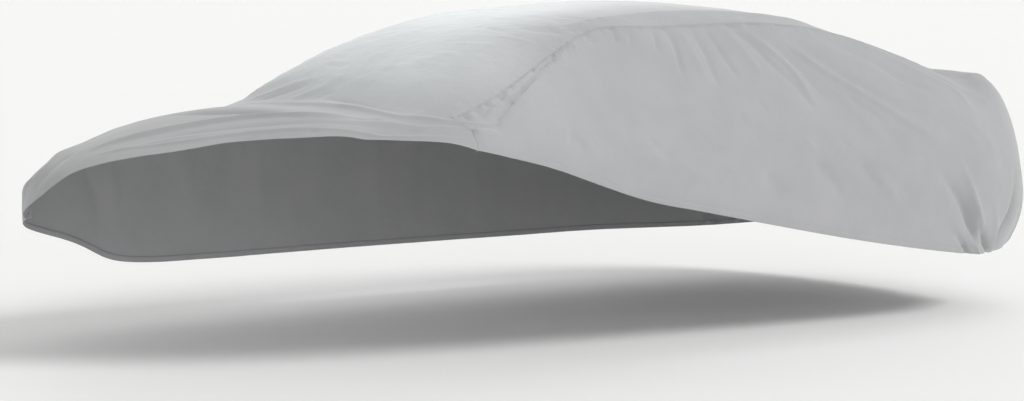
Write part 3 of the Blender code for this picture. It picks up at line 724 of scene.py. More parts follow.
@dataclass
class Unevenness:
    """Slow sway and small crumples of cloth that nothing pulls tight."""

    sway_length: float = 0.42
    sway_height: float = 0.0040
    crumple_length: float = 0.15
    crumple_height: float = 0.0022
    fine_length: float = 0.065
    fine_height: float = 0.0008
    screen_height: float = 0.0028
    flutter_length: float = 0.24
    flutter_height: float = 0.0030
    flutter_reach: float = 0.10
    crest_level: float = 0.35
    screen_stretch: float = 1.9

    def lift(self, points: np.ndarray, to_hem: np.ndarray, screen: np.ndarray) -> np.ndarray:
        """Height at each point.

        Args:
            points: Points of the smooth cloth.
            to_hem: Distance of each point from the nearest hem.
            screen: How far each point lies on the front slope.

        Returns:
            Heights, metres.
        """
        flat = points.reshape(-1, 3)
        sway = noise_field(flat, self.sway_length)
        crest = np.abs(noise_field(flat, self.crumple_length, 7.0))
        fine = noise_field(flat, self.fine_length, 3.0)
        flutter = noise_field(flat, self.flutter_length, -5.0)
        crumple = self.crumple_height * (self.crest_level - crest)
        height = self.sway_height * sway + crumple + self.fine_height * fine
        across = self.fine_length * np.array([1.0, self.screen_stretch, 1.0])
        height += self.screen_height * noise_field(flat, across) * screen.ravel()
        loose = np.exp(-np.minimum(to_hem.ravel(), 1.0) / self.flutter_reach)
        return (height + self.flutter_height * flutter * loose).reshape(points.shape[:-1])


@dataclass(frozen=True)
class Zones:
    """Where the cloth is slack on its front slope, flat by its short seam and gathered by its long one.

    Each pair holds the rib at which a zone starts or ends and the ribs over which it fades.
    """

    screen_start: tuple[float, float] = (6.5, 0.6)
    screen_end: tuple[float, float] = (10.2, 1.2)
    screen_edge: float = 0.06
    gather_start: tuple[float, float] = (LEG_TOP, 0.3)
    gather_end: tuple[float, float] = (9.6, 0.6)
    leg_end: float = LEG_TOP + 0.1
    leg_edge: float = 0.08

    def screen(self, ribs: np.ndarray, girths: np.ndarray) -> np.ndarray:
        """How far each place lies on the front slope.

        Args:
            ribs: Rib numbers.
            girths: Girth numbers.

        Returns:
            Shares from 0 to 1.
        """
        (start, rise), (end, fall) = self.screen_start, self.screen_end
        on_top = np.where(np.abs(girths) < 1.0, 1.0, 0.0)
        share = ease((ribs - start) / rise) * ease((end - ribs) / fall) * on_top
        return share * ease((1.0 - np.abs(girths)) / self.screen_edge)

    def leg(self, ribs: np.ndarray, girths: np.ndarray) -> np.ndarray:
        """How far each place lies by the flat short seam down to the hem."""
        return np.where(ribs < self.leg_end, ease((-1.0 - girths) / self.leg_edge), 0.0)

    def gathered(self, ribs: np.ndarray) -> np.ndarray:
        """How far each rib lies where the long seam draws the cloth in most."""
        (start, rise), (end, fall) = self.gather_start, self.gather_end
        return ease((ribs - start) / rise) * ease((end - ribs) / fall)


@dataclass(frozen=True)
class EdgeRelief:
    """Small relief of the sewn edges: the hem's doubled cloth, thread lines and seam groove, in metres.

    Each line or band is a distance from the edge, a width and a height.
    """

    hem_band: tuple[float, float, float] = (26.0 * MM, 4.0 * MM, 0.9 * MM)
    hem_thread: tuple[float, float, float] = (27.0 * MM, 2.4 * MM, -0.9 * MM)
    seam_groove: tuple[float, float, float] = (0.0, 1.9 * MM, -1.9 * MM)
    seam_thread: tuple[float, float, float] = (4.0 * MM, 1.2 * MM, -0.4 * MM)
    seam_puff: tuple[float, float, float] = (10.0 * MM, 6.0 * MM, 0.7 * MM)
    pull_patch: float = 0.07
    pull_level: float = 0.3
    pull_gain: float = 2.2
    pull_most: float = 1.8
    leg_calm: float = 0.9

    def line(self, distance: np.ndarray, relief: tuple[float, float, float]) -> np.ndarray:
        """Height of one line of relief at distances from the edge."""
        place, width, height = relief
        return height * np.exp(-(((distance - place) / width) ** 2))

    def lift(self, grid: np.ndarray, to_hem: np.ndarray, to_seam: np.ndarray, leg: np.ndarray) -> np.ndarray:
        """Height at each point.

        Args:
            grid: Points of the folded cloth.
            to_hem: Distance of each point from the nearest hem.
            to_seam: Distance of each point from the nearest seam.
            leg: How far each point lies by the flat short seam.

        Returns:
            Heights, metres.
        """
        place, width, height = self.hem_band
        band = height * (1.0 - ease((to_hem - place) / width))
        pull = noise_field(grid.reshape(-1, 3), self.pull_patch).reshape(to_seam.shape)
        pull = np.clip(self.pull_level + self.pull_gain * pull, 0.0, self.pull_most)
        groove = self.line(to_seam, self.seam_groove) * pull * (1.0 - self.leg_calm * leg)
        threads = self.line(to_hem, self.hem_thread) + self.line(to_seam, self.seam_thread)
        return band + groove + threads + self.line(to_seam, self.seam_puff) * (1.0 - leg)


class Edge(Enum):
    """How an edge of a panel is finished."""

    HEM = 1.0
    SEAM = 0.0


@dataclass(frozen=True)
class Turn:
    """One row of points past an edge, as the cloth turns under there."""

    station: int
    push: float
    depth: float
    angle: float


# Distances from an edge at which a row of points always lies, and the numbers of the rows of thread.
STATIONS = np.array([0.0, 1.5, 4.0, 9.0, 16.0, 24.0, 27.0, 30.0, 38.0]) * MM
EDGE_ROOM = 2.6  # a line shorter than this many edge widths has its stations squeezed
SEAM_THREAD = 2
HEM_THREAD = 6
TURNED_HEM = (
    Turn(0, 1.05 * MM, 1.05 * MM, 0.5 * math.pi),
    Turn(1, 0.0, 2.1 * MM, math.pi),
    Turn(4, 0.0, 2.2 * MM, math.pi),
    Turn(6, 0.0, 2.2 * MM, math.pi),
)
SEAM_ALLOWANCE = (
    Turn(0, -0.10 * MM, 2.4 * MM, 0.42 * math.pi),
    Turn(0, -0.20 * MM, 5.0 * MM, 0.5 * math.pi),
    Turn(0, -0.25 * MM, 8.5 * MM, 0.5 * math.pi),
    Turn(0, -0.30 * MM, 12.0 * MM, 0.5 * math.pi),
)


def stations(length: float, count: int, first: bool, last: bool, crowd: float = 0.0) -> np.ndarray:
    """Distances of count points along a line.

    Args:
        length: Length of the line.
        count: Number of points.
        first: Whether the line starts on an edge of the panel.
        last: Whether it ends on one.
        crowd: How much closer the points lie at the end of the line than at its start.

    Returns:
        Rising distances from 0 to length, with the fixed stations at the edges.
    """
    squeeze = min(1.0, length / (EDGE_ROOM * STATIONS[-1]))
    head = STATIONS * squeeze if first else STATIONS[:1]
    tail = length - STATIONS[::-1] * squeeze if last else np.array([length])
    inner = count - len(head) - len(tail)
    share = np.linspace(0.0, 1.0, inner + 2)[1:-1]
    middle = head[-1] + (tail[0] - head[-1]) * (share + crowd * share * (1.0 - share))
    return np.concatenate([head, middle, tail])


@dataclass(frozen=True)
class Stretch:
    """Part of a panel between two lines of places, one at its first row and one at its last."""

    first_start: tuple[float, float]
    first_end: tuple[float, float]
    hem: tuple[tuple[float, float], ...] | None
    hem_side: float
    last_start: tuple[float, float]
    last_end: tuple[float, float]
    columns: int

    def places(self, along: np.ndarray, across: np.ndarray) -> tuple[np.ndarray, np.ndarray]:
        """Rib and girth numbers of places on the stretch.

        Args:
            along: Shares of the way along it.
            across: Shares of the way from its first line to its last.

        Returns:
            Rib numbers and girth numbers.
        """
        first = [a + (b - a) * along for a, b in zip(self.first_start, self.first_end)]
        last = [a + (b - a) * along for a, b in zip(self.last_start, self.last_end)]
        if self.hem is not None:
            last[1] = self.hem_side * hem_girth(self.hem, last[0])
        return tuple(a * (1.0 - across) + b * across for a, b in zip(first, last))


@dataclass
class ClothPanel:
    """One panel of the cover: a closed thin sheet with turned hems and seam allowances."""

    name: str
    node: str
    form: DrapedForm
    stretches: tuple[Stretch, ...]
    rows: int
    row_ends: tuple[Edge, Edge]
    column_ends: tuple[Edge, Edge]
    flat: tuple[float, float]
    area: float
    hem_until: int = 0
    crowd: float = 0.0
    thickness: float = 0.9 * MM
    lattice: int = 90
    fineness: int = 3
    welt: float = 12.0 * MM
    welt_girth: float = 0.12
    corner_ribs: float = 0.3
    held_width: float = 18.0 * MM
    held_share: float = 0.65
    pull_reach: float = 40.0 * MM
    pull_base: float = 0.35
    hem_wear: float = 18.0 * MM
    seam_wear: tuple[float, float] = (0.6, 10.0 * MM)
    zones: Zones = field(default_factory=Zones)
    relief: EdgeRelief = field(default_factory=EdgeRelief)
    grid: np.ndarray = field(init=False)
    normals: np.ndarray = field(init=False)
    to_hem: np.ndarray = field(init=False)
    to_seam: np.ndarray = field(init=False)
    pull: np.ndarray = field(init=False)
    slack: np.ndarray = field(init=False)

    def place_points(self) -> tuple[np.ndarray, np.ndarray]:
        """Places of all grid points, evenly spaced along the cloth.

        Returns:
            Rib numbers and girth numbers.
        """
        ribs, girths = [], []
        across = np.linspace(0.0, 1.0, self.lattice)
        for number, stretch in enumerate(self.stretches):
            first, last = number == 0, number == len(self.stretches) - 1
            fine = np.linspace(0.0, 1.0, self.fineness * stretch.columns)
            length = run_along(self.form.point(*stretch.places(fine[:, None], across[None, :])), 0)
            along = np.stack([
                np.interp(stations(line[-1], stretch.columns, first, last), line, fine) for line in length.T
            ], axis=1)
            length = run_along(self.form.point(*stretch.places(along, across[None, :])), 1)
            shares = np.stack([
                np.interp(stations(line[-1], self.rows, True, True, self.crowd), line, across)
                for line in length
            ])
            along = np.stack([np.interp(share, across, line) for share, line in zip(shares, along)])
            rib, girth = stretch.places(along, shares)
            ribs.append(rib if first else rib[1:])
            girths.append(girth if first else girth[1:])
        return np.concatenate(ribs), np.concatenate(girths)

    def hem_shares(self) -> tuple[np.ndarray, ...]:
        """How far each edge is hem rather than seam, point by point.

        Returns:
            Shares along the first row, the last row, the first column and the last one.
        """
        columns, rows = self.grid.shape[:2]
        first = np.full(columns, self.row_ends[0].value)
        last = np.full(columns, self.row_ends[1].value)
        if self.hem_until:
            last[:self.hem_until] = 1.0
        left = np.full(rows, self.column_ends[0].value)
        right = np.full(rows, self.column_ends[1].value)
        return first, last, left, right

    def edge_distances(self) -> tuple[np.ndarray, np.ndarray]:
        """Distance of each grid point from the nearest hem and from the nearest seam.

        Returns:
            Distances, metres; far is taken where the panel has no such edge.
        """
        along, across = run_along(self.grid, 0), run_along(self.grid, 1)
        first, last, left, right = self.hem_shares()
        ways = (
            (across, first[:, None]), (across[:, -1:] - across, last[:, None]),
            (along, left[None, :]), (along[-1:] - along, right[None, :]),
        )
        far = 9.0
        to_hem = np.min([np.where(share > 0.5, way, far) for way, share in ways], axis=0)
        to_seam = np.min([np.where(share < 0.5, way, far) for way, share in ways], axis=0)
        return to_hem, to_seam

    def slopes(self, grid: np.ndarray) -> np.ndarray:
        """Outward unit normals of a grid.

        Args:
            grid: Points.

        Returns:
            One normal for each point.
        """
        normal = unit(np.cross(np.gradient(grid, axis=0), np.gradient(grid, axis=1)))
        middle = np.array([0.0, 0.0, -0.5 * self.form.roof_height])
        return normal * np.sign(np.mean(np.sum(normal * (grid - middle), axis=-1)))

    def shared_normals(self, ribs: np.ndarray, girths: np.ndarray) -> np.ndarray:
        """Normals of the seam nearest to each place, shared with the panel beyond it."""
        shared = self.form.seam_normal(ribs)
        return shared * np.where(girths[..., None] < 0.0, (1.0, -1.0, 1.0), 1.0)

    def seam_edges(self, ribs: np.ndarray, girths: np.ndarray, own: np.ndarray) -> np.ndarray:
        """Own normals, turned to the shared ones close to the main seams.

        Args:
            ribs: Rib numbers of the grid.
            girths: Girth numbers of the grid.
            own: The panel's own normals.

        Returns:
            Unit normals.
        """
        beyond = np.abs(girths) - 1.0
        front = (beyond > 0.0) & (ribs < FRONT_CORNER + self.corner_ribs)
        rear = (beyond > 0.0) & (ribs > REAR_CORNER - self.corner_ribs)
        rib = np.where(front, FRONT_CORNER - beyond / LEG_RATE, ribs)
        rib = np.where(rear, REAR_CORNER + beyond / LEG_RATE, rib)
        near = (np.abs(beyond) < self.welt_girth) | (rib != ribs)
        share = np.exp(-((self.to_seam / self.welt) ** 2)) * np.where(near, 1.0, 0.0)
        shared = self.shared_normals(rib, girths)
        return unit(own * (1.0 - share[..., None]) + shared * share[..., None])

    def drape(self, creases: list[Crease], unevenness: Unevenness) -> None:
        """Lay the panel on the form with all its folds.

        Args:
            creases: Ridges and troughs of the whole cover.
            unevenness: Sway and crumples of the cloth.
        """
        ribs, girths = self.place_points()
        self.grid = self.form.point(ribs, girths)
        self.to_hem, self.to_seam = self.edge_distances()
        self.normals = self.seam_edges(ribs, girths, self.slopes(self.grid))
        self.slack = self.zones.screen(ribs, girths)
        height = unevenness.lift(self.grid, self.to_hem, self.slack)
        for crease in creases:
            height += crease.lift(self.form, self.grid, self.normals)
        leg = self.zones.leg(ribs, girths)
        height *= 1.0 - self.held_share * leg * np.exp(-((self.to_seam / self.held_width) ** 2))
        self.grid = self.grid + height[..., None] * self.normals
        self.normals = self.seam_edges(ribs, girths, self.slopes(self.grid))
        relief = self.relief.lift(self.grid, self.to_hem, self.to_seam, leg)
        self.grid = self.grid + relief[..., None] * self.normals
        drawn = self.pull_base + (1.0 - self.pull_base) * self.zones.gathered(ribs)
        self.pull = np.exp(-self.to_seam / self.pull_reach) * drawn * (1.0 - self.relief.leg_calm * leg)

    def turn_under(
        self, grid: np.ndarray, facing: np.ndarray, normals: np.ndarray, marks: np.ndarray, hem: np.ndarray
    ) -> tuple[np.ndarray, ...]:
        """Add the rows past the last column of a grid, as the cloth turns under there.

        Args:
            grid: Points, with the edge at the end of the second axis.
            facing: Direction in which the cloth's outer face looks.
            normals: Outward normals of the cover.
            marks: Values carried by the points.
            hem: How far each point of the edge is hem.

        Returns:
            The four arrays with the new rows.
        """
        outward = grid[:, -1] - grid[:, -3]
        edge = normals[:, -1]
        outward = unit(outward - np.sum(outward * edge, axis=-1, keepdims=True) * edge)
        rows = [[], [], [], []]
        for at_hem, at_seam in zip(TURNED_HEM, SEAM_ALLOWANCE):
            made = []
            for turn in (at_hem, at_seam):
                index = -1 - turn.station
                normal = normals[:, index]
                point = grid[:, index] + turn.push * outward - turn.depth * normal
                look = math.cos(turn.angle) * facing[:, index] + math.sin(turn.angle) * outward
                made.append((point, look, normal, marks[:, index]))
            share = hem[:, None]
            for row, (hem_value, seam_value) in zip(rows, zip(*made)):
                row.append(hem_value * share + seam_value * (1.0 - share))
        extra = [np.stack(row, axis=1) for row in rows]
        extra[1:3] = [unit(row) for row in extra[1:3]]
        given = (grid, facing, normals, marks)
        return tuple(np.concatenate([old, new], axis=1) for old, new in zip(given, extra))

    def sheet_skins(self) -> tuple[np.ndarray, np.ndarray, np.ndarray]:
        """The two faces of the sheet, with its turned edges.

        Returns:
            Outer points, inner points, and the marks of both: place on the cut cloth, wear, pull and slack.
        """
        first, last, left, right = self.hem_shares()
        turns = len(TURNED_HEM)
        share, width = self.seam_wear
        wear = np.exp(-self.to_hem / self.hem_wear) + share * np.exp(-self.to_seam / width)
        flat = (run_along(self.grid, 0), run_along(self.grid, 1))
        marks = np.stack([*flat, wear, self.pull, self.slack], axis=-1)
        arrays = (self.grid, self.normals, self.normals, marks)
        ends = [np.pad(end, turns, mode="edge") for end in (right, left)]
        for one, other in ((last, first), ends):
            arrays = self.turn_under(*arrays, one)
            arrays = tuple(np.flip(array, axis=1) for array in arrays)
            arrays = self.turn_under(*arrays, other)
            arrays = tuple(np.swapaxes(np.flip(array, axis=1), 0, 1) for array in arrays)
        outer, facing, _, marks = arrays
        return outer, outer - self.thickness * facing, marks

    def build(self) -> bpy.types.Object:
        """The closed sheet as a mesh object, with its cloth map and marks.

        Returns:
            The piece, without its material.
        """
        outer, inner, marks = self.sheet_skins()
        columns, rows = outer.shape[:2]
        number = np.arange(columns * rows).reshape(columns, rows)
        a, b, c, d = number[:-1, :-1], number[1:, :-1], number[1:, 1:], number[:-1, 1:]
        quads = np.stack([a, b, c, d], axis=-1).reshape(-1, 4)
        under = quads[:, ::-1] + columns * rows
        rim = np.concatenate([number[:, 0], number[-1, 1:], number[-2::-1, -1], number[0, -2:0:-1]])
        following = np.roll(rim, -1)
        walls = np.stack([rim + columns * rows, following + columns * rows, following, rim], axis=-1)
        faces = np.concatenate([quads, under, walls])
        points = np.concatenate([outer.reshape(-1, 3), inner.reshape(-1, 3)])
        corner = points[faces[:, 1]] - points[faces[:, 0]]
        turned = np.cross(corner, points[faces[:, 3]] - points[faces[:, 0]])
        middle = len(quads) // 2
        look = np.sum(turned[middle] * (points[faces[middle, 0]] - points[faces[middle + len(quads), 0]]))
        if look < 0.0:
            faces = faces[:, ::-1]
        mesh = bpy.data.meshes.new(self.name)
        mesh.vertices.add(len(points))
        mesh.vertices.foreach_set("co", points.ravel().astype(np.float32))
        mesh.loops.add(faces.size)
        mesh.loops.foreach_set("vertex_index", faces.ravel().astype(np.int32))
        mesh.polygons.add(len(faces))
        mesh.polygons.foreach_set("loop_start", np.arange(0, faces.size, 4, dtype=np.int32))
        mesh.update(calc_edges=True)
        mesh.validate()
        doubled = np.concatenate([marks.reshape(-1, marks.shape[-1])] * 2)
        corners = np.empty(len(mesh.loops), np.int32)
        mesh.loops.foreach_get("vertex_index", corners)
        layer = mesh.uv_layers.new(name="cloth_map")
        layer.data.foreach_set("uv", doubled[corners, :2].ravel().astype(np.float32))
        for mark, name in ((2, "edge_wear"), (3, "seam_pull"), (4, "screen_slack")):
            layer = mesh.attributes.new(name, "FLOAT", "POINT")
            layer.data.foreach_set("value", np.clip(doubled[:, mark], 0.0, 1.0).astype(np.float32))
        mesh.shade_smooth()
        LOG.info("%s: %d points, %d faces", self.name, len(points), len(faces))
        return put_in_scene(self.name, mesh)

    def thread_paths(self, lift: float) -> list[np.ndarray]:
        """Lines on the cloth along which its thread runs.

        Args:
            lift: How far they lie off the cloth, metres.

        Returns:
            Rows of points.
        """
        raised = self.grid + lift * self.normals
        trim = HEM_THREAD
        first, last, left, right = (
            HEM_THREAD if share[-1] > 0.5 else SEAM_THREAD for share in self.hem_shares())
        split = self.hem_until
        paths = [raised[trim:-trim, first], raised[left, trim:-trim], raised[-1 - right, trim:-trim]]
        if split:
            paths.append(raised[trim:split, -1 - HEM_THREAD])
            paths.append(raised[split + 1:-trim, -1 - SEAM_THREAD])
        else:
            paths.append(raised[trim:-trim, -1 - last])
        return paths


def put_in_scene(name: str, data: bpy.types.ID) -> bpy.types.Object:
    """Link a new object to the scene.

    Args:
        name: Its name.
        data: What it shows: a mesh, a lamp or a camera.

    Returns:
        The object.
    """
    made = bpy.data.objects.new(name, data)
    bpy.context.scene.collection.objects.link(made)
    return made


def new_material(name: str) -> bpy.types.Material:
    """Make a material with an empty node tree.

    Args:
        name: Its name.

    Returns:
        The material.
    """
    material = bpy.data.materials.new(name)
    material.use_nodes = True
    material.node_tree.nodes.clear()
    return material


def linear(colour: str) -> tuple[float, float, float, float]:
    """Linear colour of an sRGB hex value such as b3b4b6."""
    values = [int(colour[i:i + 2], 16) / 255.0 for i in (0, 2, 4)]
    return (*(v / 12.92 if v <= 0.04045 else ((v + 0.055) / 1.055) ** 2.4 for v in values), 1.0)


def add_node(tree: bpy.types.NodeTree, kind: str, settings: dict[str | int, object] | None = None,
             links: dict[str | int, bpy.types.NodeSocket] | None = None) -> bpy.types.Node:
    """Add a node.

    Args:
        tree: The tree that gets it.
        kind: Its type name.
        settings: Properties by name; an input's value by its name or number.
        links: Output sockets that feed its inputs, by input name or number.

    Returns:
        The node.
    """
    made = tree.nodes.new(kind)
    for key, value in (settings or {}).items():
        if isinstance(key, int) or key in made.inputs:
            made.inputs[key].default_value = value
        else:
            setattr(made, key, value)
    for key, socket in (links or {}).items():
        tree.links.new(socket, made.inputs[key])
    return made


@dataclass(frozen=True)
class SpunbondCloth:
    """Spunbond polypropylene, calendered: soft matt grey with a faint bloom at grazing angles.

    Each pattern's size is in millimetres, and each bump is a strength and a depth in metres.
    """

    name: str = "spunbond_cloth"
    base: str = "a8a8aa"
    shade: str = "9fa0a1"
    wear: str = "9b9c9e"
    wear_share: float = 0.35
    roughness: float = 0.86
    roughness_spread: float = 0.05
    refraction: float = 1.49
    specular: float = 0.28
    sheen: float = 0.30
    sheen_roughness: float = 0.45
    mottle_mm: float = 260.0
    fibre_mm: float = 9.0
    bond_mm: float = 4.0
    crumple_mm: float = 38.0
    pucker_mm: tuple[float, float] = (26.0, 85.0)
    contrast: tuple[float, float] = (0.3, 0.7)
    cloud_share: float = 0.75
    slack_gain: float = 2.4
    crumple_bump: tuple[float, float] = (0.7, 2.2 * MM)
    pucker_bump: tuple[float, float] = (0.9, 9.0 * MM)
    fibre_bump: tuple[float, float] = (0.35, 0.5 * MM)
    bond_bump: tuple[float, float] = (0.25, 0.3 * MM)

    def build(self) -> bpy.types.Material:
        """The cloth's material.

        Returns:
            The material, which reads cloth_map, edge_wear, seam_pull and screen_slack.
        """
        material = new_material(self.name)
        tree = material.node_tree
        place = add_node(tree, "ShaderNodeTexCoord").outputs["Object"]
        cloth_map = add_node(tree, "ShaderNodeUVMap", {"uv_map": "cloth_map"}).outputs["UV"]
        worn, pulled, slack = (
            add_node(tree, "ShaderNodeAttribute", {"attribute_name": mark}).outputs["Fac"]
            for mark in ("edge_wear", "seam_pull", "screen_slack"))
        # uneven web of fibres: slow cloudy patches, which the eye reads as a felted cloth
        mottle = add_node(tree, "ShaderNodeTexNoise", {
            "Scale": 1000.0 / self.mottle_mm, "Detail": 4.0, "Roughness": 0.6}, {"Vector": place})
        fibre = add_node(tree, "ShaderNodeTexNoise", {
            "Scale": 1000.0 / self.fibre_mm, "Detail": 3.0, "Roughness": 0.7}, {"Vector": cloth_map})
        clouds, specks = (
            add_node(tree, "ShaderNodeMapRange", {
                "From Min": self.contrast[0], "From Max": self.contrast[1], "To Min": 0.0, "To Max": share},
                {"Value": pattern.outputs["Fac"]})
            for share, pattern in ((self.cloud_share, mottle), (1.0 - self.cloud_share, fibre)))
        amount = add_node(tree, "ShaderNodeMath", {"operation": "ADD"}, {
            0: clouds.outputs["Result"], 1: specks.outputs["Result"]})
        tone = add_node(tree, "ShaderNodeMix", {
            "data_type": "RGBA", 6: linear(self.base), 7: linear(self.shade)}, {0: amount.outputs["Value"]})
        # handling marks along hems and seams
        rubbed = add_node(tree, "ShaderNodeMath", {"operation": "MULTIPLY", 1: self.wear_share}, {0: worn})
        tinted = add_node(tree, "ShaderNodeMix", {"data_type": "RGBA", 7: linear(self.wear)}, {
            0: rubbed.outputs["Value"], 6: tone.outputs[2]})
        # small crumples of loose cloth, higher where the cloth is slack
        crumple = add_node(tree, "ShaderNodeTexNoise", {
            "Scale": 1000.0 / self.crumple_mm, "Detail": 3.0, "Roughness": 0.55}, {"Vector": place})
        looser = add_node(tree, "ShaderNodeMath", {
            "operation": "MULTIPLY_ADD", 1: self.slack_gain, 2: 1.0}, {0: slack})
        loose = add_node(tree, "ShaderNodeMath", {"operation": "MULTIPLY"}, {
            0: crumple.outputs["Fac"], 1: looser.outputs["Value"]})
        # needle puckers beside the seams, along the cloth map: short along the seam, long into the panel
        drawn = add_node(tree, "ShaderNodeVectorMath", {
            "operation": "MULTIPLY", 1: (1000.0 / self.pucker_mm[0], 1000.0 / self.pucker_mm[1], 1.0)},
            {0: cloth_map})
        pucker = add_node(tree, "ShaderNodeTexNoise", {"Scale": 1.0, "Detail": 0.6}, {
            "Vector": drawn.outputs["Vector"]})
        gathered = add_node(tree, "ShaderNodeMath", {"operation": "MULTIPLY"}, {
            0: pucker.outputs["Fac"], 1: pulled})
        # bond points of the calender roll, 4 mm apart: coarser than real so that a close view shows them
        bonds = add_node(tree, "ShaderNodeTexVoronoi", {
            "Scale": 1000.0 / self.bond_mm, "Randomness": 0.25}, {"Vector": cloth_map})
        relief = {}
        for (strength, depth), height in (
            (self.crumple_bump, loose.outputs["Value"]), (self.pucker_bump, gathered.outputs["Value"]),
            (self.fibre_bump, fibre.outputs["Fac"]), (self.bond_bump, bonds.outputs["Distance"]),
        ):
            bump = add_node(tree, "ShaderNodeBump", {"Strength": strength, "Distance": depth}, {
                "Height": height, **relief})
            relief = {"Normal": bump.outputs["Normal"]}
        smoother, rougher = self.roughness - self.roughness_spread, self.roughness + self.roughness_spread
        rough = add_node(tree, "ShaderNodeMapRange", {"To Min": smoother, "To Max": rougher}, {
            "Value": fibre.outputs["Fac"]})
        shader = add_node(tree, "ShaderNodeBsdfPrincipled", {
            "Metallic": 0.0, "IOR": self.refraction, "Specular IOR Level": self.specular,
            "Sheen Weight": self.sheen, "Sheen Roughness": self.sheen_roughness}, {
            "Base Color": tinted.outputs[2], "Roughness": rough.outputs["Result"], **relief})
        add_node(tree, "ShaderNodeOutputMaterial", None, {"Surface": shader.outputs["BSDF"]})
        return material


@dataclass(frozen=True)
class SpunThread:
    """Spun polyester sewing thread: a shade darker than the cloth, with a faint twist."""

    name: str = "spun_polyester_thread"
    base: str = "a9aaac"
    dark: str = "959698"
    roughness: float = 0.7
    sheen: float = 0.2
    twist_mm: float = 1.2
    twist_bump: tuple[float, float] = (0.4, 0.2 * MM)

    def build(self) -> bpy.types.Material:
        """The thread's material.

        Returns:
            The material.
        """
        material = new_material(self.name)
        tree = material.node_tree
        place = add_node(tree, "ShaderNodeTexCoord").outputs["Object"]
        # two plies twisted together: fine darker flecks along each stitch
        twist = add_node(tree, "ShaderNodeTexNoise", {
            "Scale": 1000.0 / self.twist_mm, "Detail": 1.0}, {"Vector": place})
        tone = add_node(tree, "ShaderNodeMix", {
            "data_type": "RGBA", 6: linear(self.base), 7: linear(self.dark)}, {0: twist.outputs["Fac"]})
        strength, depth = self.twist_bump
        relief = add_node(tree, "ShaderNodeBump", {"Strength": strength, "Distance": depth}, {
            "Height": twist.outputs["Fac"]})
        shader = add_node(tree, "ShaderNodeBsdfPrincipled", {
            "Metallic": 0.0, "Roughness": self.roughness, "Sheen Weight": self.sheen}, {
            "Base Color": tone.outputs[2], "Normal": relief.outputs["Normal"]})
        add_node(tree, "ShaderNodeOutputMaterial", None, {"Surface": shader.outputs["BSDF"]})
        return material


